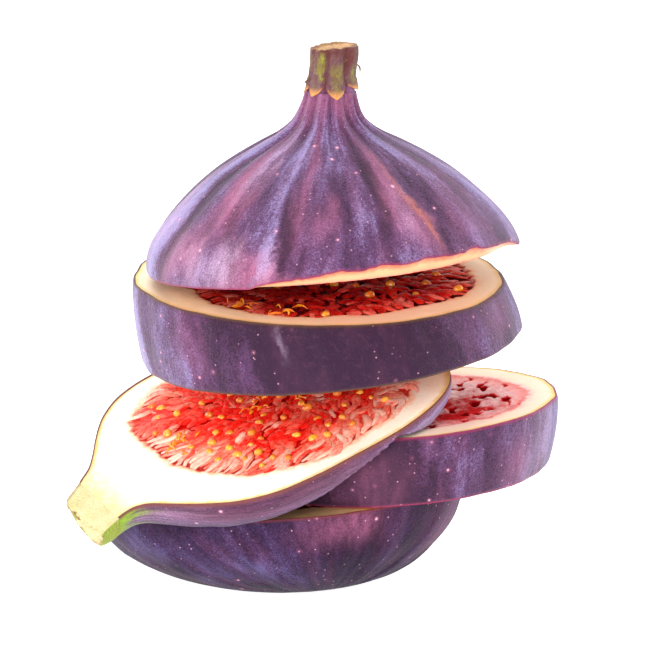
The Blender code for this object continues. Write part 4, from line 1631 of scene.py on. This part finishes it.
@dataclass
class HalfPiece:
    """The lengthwise half: white flesh in a thin skin, with a bed of strands and seeds."""

    below: tuple[tuple[Cut, float], ...]  # cuts it rests on, and their radii
    centre: Spot = (-0.446, -2.715, 2.061)  # from the box's middle
    along: Spot = (0.8573, 0.3949, 0.3306)
    wide: Spot = (0.4640, -0.8706, -0.1634)
    out: Spot = (-0.2233, -0.2935, 0.9295)
    # along, back edge, front edge, depth below the cut face
    stations: tuple[tuple[float, float, float, float], ...] = (
        (-31.0, -3.2, 8.2, 3.4), (-30.0, -4.4, 7.9, 4.3), (-28.0, -6.0, 7.0, 4.9),
        (-26.0, -7.7, 6.2, 5.0), (-24.0, -9.6, 5.9, 5.3), (-22.0, -12.5, 6.7, 5.9),
        (-20.0, -15.8, 8.9, 6.7), (-18.0, -18.8, 11.2, 7.4), (-16.0, -21.2, 13.3, 8.0),
        (-13.0, -23.7, 16.0, 8.7), (-10.0, -25.1, 17.7, 9.1), (-6.5, -25.9, 18.9, 9.4),
        (-3.0, -26.0, 19.3, 9.4), (1.0, -25.7, 19.4, 9.3), (5.5, -24.9, 19.1, 9.0),
        (10.0, -23.5, 18.8, 8.6), (14.5, -21.3, 18.2, 8.0), (19.5, -17.8, 16.7, 6.8),
        (23.0, -14.0, 14.8, 5.4), (25.3, -10.0, 12.6, 4.2), (26.8, -5.8, 9.8, 3.0),
        (27.6, -2.0, 6.6, 1.9), (27.9, 0.9, 3.6, 0.9),
    )
    pulp_corners: tuple[Pair, ...] = (
        (-15.3, -12.6), (-15.1, -9.7), (-14.8, -6.2), (-15.0, -2.4), (-14.3, 1.1), (-12.6, 4.3),
        (-10.4, 8.1), (-7.9, 11.3), (-4.9, 13.4), (-1.4, 14.7), (2.0, 15.7), (6.0, 15.5), (10.0, 14.9),
        (14.5, 13.5), (18.5, 12.0), (21.0, 8.5), (22.0, 3.0), (21.0, -3.0), (18.5, -9.5), (14.5, -15.0),
        (9.0, -19.0), (3.0, -21.2), (-3.0, -21.8), (-8.2, -21.0), (-12.0, -18.2), (-14.4, -15.4),
    )
    soft_patches: tuple[Patch, ...] = ()
    power: float = 2.4  # how full the belly's round is
    rest_gap: float = 0.78
    bed_depth: float = 0.4
    stub_end: float = 2.6  # station number where the stub of the stalk gives way to the skin

    def __post_init__(self) -> None:
        """Places the half and reads its outline."""
        self.origin = middle_of("half") + self.centre
        own = (self.along, self.wide, self.out)
        self.u, self.w, self.n = (np.array(way) / np.linalg.norm(way) for way in own)
        self.lumps = Lumps(57)
        self.pulp = closed_curve(np.array(self.pulp_corners), 220)
        spot = np.column_stack([self.pulp, np.zeros(len(self.pulp))])
        self.pulp = self.pulp * (1 + 0.02 * self.lumps.at(spot, 2.2)[:, None])
        self.table = np.column_stack([np.arange(len(self.stations)), self.stations])

    def rows_at(self, where: Array) -> Array:
        """Along, back edge, front edge and depth at these station numbers."""
        return glide(self.table, where)

    def outline(self, inset: float) -> Array:
        """The edge of the cut face, moved in by this much."""
        along, back, front, _ = self.rows_at(np.linspace(0, len(self.stations) - 1, 260)).T
        edges = np.column_stack([along, front - inset]), np.column_stack([along, back + inset])[::-1]
        return np.vstack(edges)

    def world(self, along: Array, wide: Array, rise: Array) -> Array:
        """Places in the half's own frame, in the row frame."""
        spot = self.origin + along[..., None] * self.u + wide[..., None] * self.w
        return spot + rise[..., None] * self.n

    def room(self, flat: Array, furthest: Array) -> Array:
        """How deep points under the face can go before they meet a piece below.

        Args:
            flat: The points, on the face.
            furthest: How deep each would go if nothing were in its way.

        Returns:
            How deep each goes.
        """
        step = 0.4
        found = furthest.copy()
        open_way = np.ones(furthest.shape, bool)
        for deep in np.arange(0, furthest.max() + step, step):
            blocked = open_way & (deep < furthest) & (self.clear(flat, np.full_like(found, deep)) < 0)
            low = np.full_like(found, max(0.0, deep - step))
            high = np.full_like(found, deep)
            for _ in range(6):
                mid = (low + high) / 2
                hit = self.clear(flat, mid) < 0
                high, low = np.where(hit, mid, high), np.where(hit, low, mid)
            found = np.where(blocked, low, found)
            open_way &= ~blocked
        return found

    def clear(self, flat: Array, deep: Array) -> Array:
        """Air left under points.

        Args:
            flat: The points, on the face.
            deep: How deep each goes under it.

        Returns:
            The air, negative where a point meets a piece below.
        """
        spot = flat - deep[..., None] * self.n
        air = np.full(deep.shape, 1e9)
        for cut, radius in self.below:
            outside = np.hypot(spot[..., 0] - cut.point[0], spot[..., 1] - cut.point[1]) - radius
            ramp = 1.3 * np.maximum(0.0, outside - 1.1)
            over = spot[..., 2] - cut.height(spot[..., 0], spot[..., 1])
            air = np.minimum(air, over - self.rest_gap + ramp)
        return air

    def belly(self, where: Array, turn: Array, inset: float) -> Array:
        """The outside of the half.

        Args:
            where: Station numbers.
            turn: Turns under the belly, 0 at the back edge and pi at the front edge.
            inset: How far inside the outer surface.

        Returns:
            Points, one row for each station number.
        """
        rows = self.rows_at(where)
        along, back, front, depth = (rows[:, k, None] for k in range(4))
        middle, reach = (back + front) / 2, np.maximum((front - back) / 2 - inset, 0.05)
        depth = np.maximum(depth - inset, 0.05)
        across = -np.sign(np.cos(turn)) * np.abs(np.cos(turn)) ** (2 / self.power)
        sink = depth * np.abs(np.sin(turn)) ** (2 / self.power)
        wide = middle + reach * across
        flat = self.world(np.broadcast_to(along, wide.shape), wide, np.zeros_like(wide))
        sink = np.minimum(sink, np.maximum(self.room(flat, sink) - inset, 0.7 - 0.4 * inset))
        lumpy = 0.14 * self.lumps.at(flat, 2.8) * np.sin(turn) * (0 if inset else 1)
        sink = np.maximum(sink - 0.05 + lumpy, 0)[..., None]
        return flat - sink * self.n * (np.sin(turn) > 1e-6)[..., None]

    def skin_body(self) -> Body:
        """The skin shell under the half.

        Returns:
            The closed shell with its marks.
        """
        last = len(self.stations) - 1.0
        where = np.linspace(self.stub_end, last, 330)
        turn = np.linspace(0, math.pi, 150)
        inner_turn = np.linspace(math.pi, 0, 20)
        outer = self.belly(where, turn, 0.0)
        inner = self.belly(where, inner_turn, SKIN)
        body = loft(np.concatenate([outer, inner], 1))
        shape = outer.shape[:2]
        share = np.broadcast_to(((where - self.stub_end) / (last - self.stub_end))[:, None], shape)
        angle = np.broadcast_to(turn, shape)
        length = np.broadcast_to(self.rows_at(where)[:, :1] + 28, shape)
        # painted stripes of fold light and shade; the half's belly has no folds of its own
        rib = held(0.55 + 0.45 * np.cos(9 * angle + 0.4))
        marks = skin_marks(angle, share, length, rib, self.soft_patches, self.lumps)
        depth = np.maximum(self.rows_at(where)[:, 3:4], 0.5)
        marks["edge"] = 0.9 * bump(np.minimum(angle, math.pi - angle) * depth * 1.6, 0.5)
        for name, value in marks.items():
            pad = np.repeat(value[:, -1:], len(inner_turn), 1)
            if name == "edge":
                pad = np.ones_like(pad)
            value = np.concatenate([value, pad], 1)
            flat = value.reshape(-1, 3) if name == "grain" else value.ravel()
            body.marks[name] = np.concatenate([flat, flat[:1], flat[-1:]])
        return body

    def face_grid(self, where: Array, count: int, inset: float) -> tuple[Array, Array, Array]:
        """The cut face.

        Args:
            where: Station numbers.
            count: Points across the face.
            inset: How far inside the skin's outer edge.

        Returns:
            Points from front to back, distance from the skin, and how far in the pulp.
        """
        rows = self.rows_at(where)
        share = 0.5 - 0.5 * np.cos(np.linspace(0, math.pi, count))
        share = 0.6 * share + 0.4 * np.linspace(0, 1, count)
        front, back = rows[:, 2:3] - inset, rows[:, 1:2] + inset
        wide = front + (np.minimum(back, front - 0.05) - front) * share
        along = np.broadcast_to(rows[:, :1], wide.shape)
        spots = np.column_stack([along.ravel(), wide.ravel()])
        inward = np.maximum(gap_inside(spots, self.outline(0.0))[0].reshape(wide.shape) - SKIN, 0)
        pulp, _ = gap_inside(spots, self.pulp)
        flat = np.column_stack([spots, np.zeros(len(spots))])
        pulp = (pulp + 0.35 * self.lumps.at(flat, 0.9)).reshape(wide.shape)
        dip = held(pulp / DIP_WIDTH)
        drop = self.bed_depth * dip * dip * (3 - 2 * dip)
        drop = drop + 0.07 * self.lumps.at(flat, 3.0).reshape(wide.shape) * held(inward / 0.6)
        drop = drop + 0.12 * (1 - held(inward / 0.8)) ** 2
        return self.world(along, wide, -drop), inward, pulp

    def flesh_body(self) -> Body:
        """The flesh, from the stub to the tip."""
        where = np.linspace(self.stub_end, len(self.stations) - 1.0, 250)
        face, inward, pulp = self.face_grid(where, 170, SKIN + 0.02)
        under = self.belly(where, np.linspace(0, math.pi, 22)[1:-1], SKIN + 0.04)
        body = loft(np.concatenate([face, under], 1))
        pad = np.zeros(under.shape[:2])
        inward = np.concatenate([inward, pad], 1).ravel()
        pulp = np.concatenate([pulp, pad - 5], 1).ravel()
        along = self.rows_at(where)[:, :1]
        tail = held(1 - (along + 26.8) / 6) + 0.35 * held((along - 21) / 4)
        tail = tail + np.zeros((1, face.shape[1] + under.shape[1]))
        body.marks = {
            "inward": np.append(inward, [1, 0]),
            "pulp": np.append(pulp, [-9, -9]),
            "tail": np.append(tail.ravel(), [1, 0]),
        }
        return body

    def stub_body(self) -> Body:
        """The stub of the stalk, pale where it is cut and torn and green underneath."""
        where = np.linspace(0, self.stub_end + 0.02, 60)
        face, _, _ = self.face_grid(where, 60, 0.0)
        turn = np.linspace(0, math.pi, 82)[1:-1]
        under = self.belly(where, turn, 0.0)
        rings = np.concatenate([face, under], 1)
        middle = rings[0].mean(0)
        shares = (0.95, 0.85, 0.74, 0.62, 0.5, 0.38, 0.25, 0.12)
        rings = np.vstack([np.stack([rings[0] + (middle - rings[0]) * s for s in shares]), rings])
        step = (np.arange(len(rings)) - len(shares)).astype(float)
        spot = rings * (1, 1, 1.3)
        rough = self.lumps.at(spot, 1.5) + 0.6 * self.lumps.at(spot, 0.7)
        fade = held(1 - step / 16.0)[:, None]
        rings = rings + (fade * (1.35 * np.abs(rough) + 0.14))[..., None] * self.u
        rings = rings - (held(step / 6)[:, None] * fade * 0.12 * rough)[..., None] * self.n
        body = loft(rings)
        wide = np.concatenate([np.zeros(face.shape[:2]), np.ones(under.shape[:2])], 1)
        skin = np.vstack([np.repeat(wide[:1], len(shares), 0), wide])
        torn = held(1 - (step + 1) / 4.0)[:, None] + 0 * skin
        edge = bump(step - 1, 1.6)[:, None]
        cut = held(0.9 + 0.25 * rough) - 0.2 * edge
        pale = np.where(skin > 0, held(1.3 * torn - 0.1), cut)
        crease = edge * (0.25 + 0.6 * skin + 0.5 * rough) + 0.9 * torn * held(rough * 1.8 - 0.7)
        brown = 0.35 * skin * held(0.4 + rough) * (1 - torn)
        rim = np.zeros(rings.shape[1])
        rim[face.shape[1] - 3 : face.shape[1] + 6] = 1
        rim[face.shape[1] - 7 : face.shape[1] - 3] = 0.4
        crease, pale = np.maximum(crease, 0.75 * rim), pale * (1 - 0.6 * rim)
        grain = rings.reshape(-1, 3)
        marks = {"pale": pale, "brown": brown, "crease": crease}
        body.marks = {k: np.append(held(v).ravel(), [0.8, 1.0]) for k, v in marks.items()}
        body.marks["grain"] = np.vstack([grain, grain[:2]])
        return body

    def build(
        self, skin: SkinFinish, flesh: FleshFinish, pulp_look: Looks
    ) -> None:
        """Makes the skin, the flesh, the stub, the strands, the seeds and the fibres.

        Args:
            skin: Finish of the skin.
            flesh: Finish of the flesh.
            pulp_look: Materials of the strands, the seeds and the fibres.
        """
        piece("half_skin", self.skin_body(), skin.make(), "half_flesh", "half")
        piece("half_flesh", self.flesh_body(), flesh.make(), "half_flesh")
        stub = WoodyFinish(
            "green stub", body=paint(150, 182, 50), fresh=paint(178, 204, 66),
            brown=paint(140, 140, 70), cut=paint(248, 228, 174), crease=paint(150, 92, 52),
        ).make()
        piece("half_stub", self.stub_body(), stub, "neck_green", "half_stalk")
        pulp = PulpField(
            self.origin,
            self.u,
            self.w,
            self.n,
            self.pulp,
            seed=5,
            lean=(1.0, 0.0),
            spacing=0.8,
            length=(3.8, 7.8),
            width=(0.7, 1.3),
            flat=0.42,
            sunk=0.08,
            seeds=70,
            seed_rise=0.3,
            far_shade=0.3,
            fibres=(
                (-12.6, -3.2), (-11.4, -4.4), (-10.2, -4.8), (1.2, -4.6), (3.0, -6.0), (7.0, -1.4),
                (-0.8, -15.6),
            ),
        )
        pulp.build("half", "half_flesh", pulp_look)


# ---- studio


@dataclass
class Studio:
    """White floor, soft light from above, behind and the sides, and the camera."""

    aim_shift: Spot = (1.32, 5.6, -3.46)  # from the middle of the whole fig
    distance: float = 600.0
    tilt: float = 12.5
    lens: float = 223.03
    floor_reach: float = 4.0
    lit_spot: Spot = (0.005, -0.01, 0.04)  # what the lamps look at
    # name, place in metres, size and power of each lamp
    lamps: tuple[tuple[str, Spot, float, float], ...] = (
        ("top light", (-0.02, -0.04, 0.5), 0.45, 2.0),
        ("front light", (-0.1, -0.52, 0.2), 0.35, 3.4),
        ("left light", (-0.5, 0.12, 0.16), 0.35, 1.0),
        ("right light", (0.5, 0.14, 0.16), 0.35, 1.2),
    )

    def camera(self) -> None:
        """Sets up the camera."""
        low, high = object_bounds()
        aim = np.array((Vector(low) + Vector(high)) / 2) / MM + self.aim_shift
        down = math.radians(self.tilt)
        spot = aim - self.distance * np.array([0, math.cos(down), -math.sin(down)])
        data = bpy.data.cameras.new("camera")
        data.lens, data.sensor_width = self.lens, 36.0
        data.clip_start, data.clip_end = 0.05, 20.0
        camera = bpy.data.objects.new("camera", data)
        looking = Matrix.Rotation(math.pi / 2 - down, 4, "X")
        camera.matrix_world = Matrix.Translation(Vector(spot * MM)) @ looking
        bpy.context.scene.collection.objects.link(camera)
        bpy.context.scene.camera = camera

    def floor(self) -> None:
        """A wide white floor that glows a little, so that it holds almost no shadow."""
        mesh = bpy.data.meshes.new("floor")
        far = self.floor_reach
        corners = [(-far, -far, 0), (far, -far, 0), (far, far, 0), (-far, far, 0)]
        mesh.from_pydata(corners, [], [(0, 1, 2, 3)])
        g = Graph("white floor")
        tint = g.noise(g.place(), 0.02, 2)
        colour = g.blend(tint, paint(200, 200, 202), paint(206, 206, 206))
        glow = {"Emission_Color": (1, 1, 1, 1), "Emission_Strength": 0.96}
        mesh.materials.append(g.finish(colour, 0.6, **glow))
        made = bpy.data.objects.new("floor", mesh)
        made.location.z = -0.0002
        bpy.context.scene.collection.objects.link(made)
        made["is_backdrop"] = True

    def lamp(self, name: str, spot: Spot, size: float, power: float) -> None:
        """A square soft light that looks at the fig.

        Args:
            name: Its name.
            spot: Its place, in metres.
            size: Length of its side.
            power: Its power.
        """
        data = bpy.data.lights.new(name, "AREA")
        data.shape, data.size, data.energy = "SQUARE", size, power
        made = bpy.data.objects.new(name, data)
        aim = (Vector(self.lit_spot) - Vector(spot)).to_track_quat("-Z", "Y")
        made.matrix_world = Matrix.Translation(Vector(spot)) @ aim.to_matrix().to_4x4()
        bpy.context.scene.collection.objects.link(made)

    def sky(self) -> None:
        """Surrounding light: bright above and behind, dimmer in front."""
        world = bpy.data.worlds.new("soft surround")
        bpy.context.scene.world = world
        world.use_nodes = True
        tree = world.node_tree
        facing = tree.nodes.new("ShaderNodeTexCoord")
        split = tree.nodes.new("ShaderNodeSeparateXYZ")
        level = tree.nodes.new("ShaderNodeMapRange")
        level.interpolation_type = "SMOOTHSTEP"
        for number, value in ((1, -0.7), (2, 0.7), (3, 0.06), (4, 0.95)):
            level.inputs[number].default_value = value
        background = tree.nodes["Background"]
        background.inputs["Color"].default_value = (1, 1, 1, 1)
        tree.links.new(facing.outputs["Generated"], split.inputs[0])
        tree.links.new(split.outputs["Y"], level.inputs[0])
        tree.links.new(level.outputs[0], background.inputs["Strength"])

    def build(self) -> None:
        """Makes the floor, the lights and the camera."""
        self.camera()
        self.floor()
        self.sky()
        for lamp in self.lamps:
            self.lamp(*lamp)
        view = bpy.context.scene.view_settings
        view.view_transform, view.look, view.exposure = "Standard", "None", 0.0


# ---- assembly

BASE_REACH = 28.8  # radius of the base's cut that the half keeps clear of
# PAINTED_SHADE patches in these tables paint shade onto the skins
CAP_PATCHES = patches({
    Tint.ROSE: (
        (221, 0.5, 7, 0.2, 1.0, -14), (214, 0.16, 10, 0.14, 0.8), (241, 0.12, 8, 0.14, 1.0),
        (256, 0.55, 3, 0.3, 0.5), (267, 0.32, 5, 0.11, 0.5), (297, 0.42, 6, 0.26, 0.9, 4),
        (303, 0.16, 6, 0.16, 0.7), (324, 0.2, 6, 0.2, 0.3), (331, 0.3, 12, 0.3, 0.12),
        (270, 0.97, 400, 0.14, 0.75), (246, 0.0, 14, 0.05, 0.6), (239, 0.03, 1.2, 0.05, 1.0),
        (244, 0.04, 1.6, 0.06, 1.0), (249, 0.03, 1.0, 0.07, 1.0), (130, 0.3, 14, 0.3, 0.8),
        (45, 0.5, 7, 0.4, 0.8), (95, 0.2, 9, 0.2, 0.7),
    ),
    Tint.BLOOM: (
        (194, 0.28, 9, 0.4, 0.6), (240, 0.36, 9, 0.12, 0.3), (243, 0.62, 8, 0.2, 0.5),
        (248, 0.12, 3, 0.18, 0.25), (272, 0.68, 9, 0.14, 0.3), (318, 0.6, 8, 0.2, 0.2),
        (350, 0.3, 7, 0.5, 0.3), (20, 0.3, 14, 0.4, 0.4), (110, 0.5, 8, 0.3, 0.4),
    ),
    Tint.PAINTED_SHADE: (
        (203, 0.3, 3, 0.34, 0.5, -4), (229, 0.34, 2.5, 0.12, 0.4, -10), (253, 0.26, 3, 0.3, 0.6),
        (270, 0.4, 8, 0.14, 0.3), (288, 0.42, 5, 0.36, 0.6), (315, 0.3, 5, 0.3, 0.45),
        (334, 0.45, 3, 0.3, 0.35), (246, 0.03, 1.0, 0.06, 0.6), (241, 0.03, 0.8, 0.05, 0.5),
        (70, 0.4, 30, 0.4, 0.4),
    ),
    Tint.AMBER: (
        (305, 0.27, 2.0, 0.2, 0.75, -12), (301, 0.5, 1.4, 0.12, 0.45, -12), (150, 0.4, 3, 0.2, 0.6),
    ),
    # the pale patches at 184, 190 and 354 lie along the outline: painted highlight as well as pale skin
    Tint.PALE: (
        (190, 0.24, 5, 0.26, 0.4), (184, 0.5, 5, 0.6, 0.6), (226, 0.66, 5, 0.16, 0.5),
        (222, 0.1, 13, 0.14, 0.35, -20), (234, 0.13, 6, 0.13, 0.55), (248, 0.12, 2, 0.14, 0.5),
        (298, 0.3, 3, 0.14, 0.3), (354, 0.3, 5, 0.5, 0.4), (137, 0.2, 6, 0.2, 0.5),
    ),
})
UPPER_PATCHES = patches({
    Tint.ROSE: ((226, 0.6, 6, 0.4, 0.3), (335, 0.7, 9, 0.4, 0.3), (120, 0.5, 16, 0.8, 0.6)),
    Tint.BLOOM: (
        (192, 0.5, 11, 1.0, 0.75), (214, 0.5, 13, 1.0, 0.3), (242, 0.3, 9, 0.4, 0.25),
        (352, 0.5, 9, 1.0, 0.3), (60, 0.5, 22, 0.8, 0.3),
    ),
    Tint.PAINTED_SHADE: (
        (200, 0.5, 3, 1.0, 0.4), (276, 0.45, 34, 1.4, 0.9), (268, 0.5, 10, 0.6, 0.25),
        (313, 0.25, 1.6, 0.35, 0.6),
    ),
    # the pale patch at 187 lies along the left outline: painted highlight as well as pale skin
    Tint.PALE: ((187, 0.5, 6, 1.0, 0.6), (258, 0.8, 1.2, 0.25, 0.35)),
})
LOWER_PATCHES = patches({
    Tint.ROSE: ((258, 0.4, 14, 0.4, 0.3), (318, 0.3, 9, 0.4, 0.32), (150, 0.5, 20, 0.8, 0.6)),
    Tint.BLOOM: ((291, 0.55, 15, 0.6, 0.18), (343, 0.5, 16, 1.0, 0.5), (80, 0.5, 22, 0.8, 0.3)),
    Tint.PAINTED_SHADE: ((262, 0.5, 24, 1.4, 0.62), (308, 0.2, 6, 0.4, 0.12)),
    # the pale patches at 337 and 352 lie along the right outline: painted highlight as well as pale
    # skin
    Tint.PALE: ((326, 0.5, 9, 1.0, 0.2), (337, 0.5, 5, 1.0, 0.4), (352, 0.5, 3, 1.0, 0.4)),
})
BASE_PATCHES = patches({
    Tint.ROSE: ((292, 0.88, 12, 0.2, 0.6), (340, 0.6, 14, 0.3, 0.3), (60, 0.6, 22, 0.4, 0.6)),
    Tint.BLOOM: (
        (200, 0.5, 16, 0.4, 0.2), (262, 0.4, 16, 0.2, 0.45, 20), (240, 0.6, 9, 0.16, 0.35),
        (284, 0.24, 12, 0.12, 0.3), (221, 0.55, 9, 0.3, 0.35),
    ),
    Tint.PAINTED_SHADE: (
        (270, 0.0, 400, 0.34, 0.42), (236, 0.3, 7, 0.26, 0.25, 20), (300, 0.6, 20, 0.6, 0.3),
    ),
    Tint.AMBER: ((0, -1.0, 400, 0.16, 0.8),),
})
HALF_PATCHES = patches({
    Tint.ROSE: ((166, 0.3, 12, 0.6, 0.3),),
    # the bloom patch at 160 and the pale patch at 166, near the far end, are painted light on skin that
    # lies in the upper slice's shade
    Tint.BLOOM: ((150, 0.75, 20, 0.3, 0.3), (160, 0.86, 30, 0.24, 0.9)),
    Tint.PAINTED_SHADE: ((150, 0.5, 34, 0.24, 0.35),),
    Tint.GREEN: ((150, 0.0, 70, 0.075, 1.2),),
    Tint.PALE: ((164, 0.14, 14, 0.1, 0.3), (166, 0.84, 10, 0.22, 0.5)),
})


def main() -> None:
    """Builds the fig on its frame, then the studio."""
    logging.basicConfig(level=logging.INFO, format="%(message)s")
    for old in list(bpy.data.objects):
        bpy.data.objects.remove(old, do_unlink=True)
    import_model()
    bright = StrandFinish("bright strands").make()
    # a darker copy of the strands: painted shade for the pulp of the upper slice and the base, which
    # lie in shade
    shade_painted = StrandFinish(
        "dusky strands", pale=paint(244, 130, 112), coral=paint(214, 40, 26), red=paint(156, 10, 12),
        under=paint(66, 0, 4), coat=0.22, gloss=0.08,
    ).make()
    seeds = SeedFinish("golden seeds").make()
    fibres = SeedFinish("orange fibres", gold=paint(255, 170, 30), dark=paint(240, 104, 16)).make()
    base = BasePiece(
        "base", "base_skin", 0.4, BASE_PATCHES,
        # darker colours than the other skins: partly painted shade on the lowest piece
        SkinFinish(
            "base skin", deep=paint(26, 12, 35), plum=paint(60, 39, 72), bloom=paint(100, 90, 138),
            streaks=0.08, bands=0.05, sheen=0.05, shine=0.08, rosy=0.12,
        ),
        FleshFinish("base flesh", flesh=paint(255, 208, 146), beside_skin=paint(244, 160, 84)),
        rind=6.5,
    )
    base.build()
    base.dress((shade_painted, seeds, fibres), seed=21, spacing=1.6, seeds=30)
    lower = Slice(
        "lower_slice", "lower_skin", 2.0, LOWER_PATCHES,
        SkinFinish(
            "lower slice skin", edge=paint(150, 44, 84), streaks=0.07, bands=0.05, base=-0.1, rosy=0.16
        ),
        FleshFinish(
            "lower slice flesh", flesh=paint(248, 226, 208), blush=paint(250, 206, 200),
            fringe=paint(244, 148, 144), bed=paint(252, 200, 204), core=paint(206, 38, 42),
            pit=paint(122, 4, 10), stain=0.1, fringe_width=4.5, wet=0.22, film=0.9, gloss=0.0,
            streaky=True,
        ),
        low=(-0.034, -0.113, -5.232), low_climb=(0.077, -0.014), low_radius=22.3,
        high=(0.066, -0.113, 5.118), high_climb=(0.077, -0.013), high_radius=23.6,
        rind=4.4, thicker=((0, -0.6), (90, 1.2), (180, 0.8), (270, 0.0)),
        bed_depth=0.15, pits=0.42, bed_rings=52,
    )
    lower.build()
    lower.dress((bright, seeds, fibres), seed=33, spacing=2.5, seeds=8, seed_rise=-0.35)
    upper = Slice(
        "upper_slice", "upper_skin", 0.9, UPPER_PATCHES,
        SkinFinish("upper slice skin", edge=paint(90, 60, 36), bands=0.08, base=-0.08, rosy=0.08),
        FleshFinish(
            # darker fringe, bed and pits than the other cuts: painted shade on the pulp that lies under
            # the cap
            "upper slice flesh", flesh=paint(255, 234, 200), beside_skin=paint(240, 200, 120),
            blush=paint(252, 200, 154), fringe=paint(220, 60, 50), bed=paint(150, 12, 12),
            pit=paint(60, 2, 6),
        ),
        low=(0.745, -0.077, -4.176), low_climb=(0.097, 0.035), low_radius=27.8,
        high=(-1.355, -0.077, 5.674), high_climb=(-0.011, 0.049), high_radius=27.3,
        rind=4.3,
        thicker=(
            (0, -0.5), (90, 0.8), (180, 1.2), (208, 2.0), (236, 0.2), (262, -0.1), (276, 0.4),
            (292, 0.9), (308, 0.9), (322, 0.4), (342, -0.6),
        ),
    )
    upper.build()
    upper.dress(
        (shade_painted, seeds, fibres), seed=44, spacing=1.2, length=(3.0, 6.0), width=(0.9, 2.0), flat=0.4,
        sunk=0.4, seeds=24, seed_size=1.5, seed_rise=0.0, fibres=((-5.0, -19.0), (-11.0, -16.5)),
    )
    half = HalfPiece(
        below=((lower.high_cut, lower.high_radius), (base.cut, BASE_REACH)),
        soft_patches=HALF_PATCHES,
    )
    half.build(
        SkinFinish("half skin", edge=paint(120, 64, 56), base=-0.16, rosy=0.14),
        FleshFinish(
            "half flesh", flesh=paint(255, 252, 238), beside_skin=paint(224, 190, 112),
            blush=paint(255, 190, 150),
        ),
        (bright, seeds, fibres),
    )
    CapPiece(
        "cap", "cap_skin", 1.1, CAP_PATCHES,
        # stronger painted light and shade on the cap's folds
        SkinFinish("cap skin", edge=paint(140, 44, 76), ribs=0.36, base=0.03, rosy=0.2),
        FleshFinish("cap flesh", flesh=paint(230, 186, 138), beside_skin=paint(196, 104, 78)),
    ).build()
    Stalk().build()
    Studio().build()


if __name__ == "__main__":
    main()
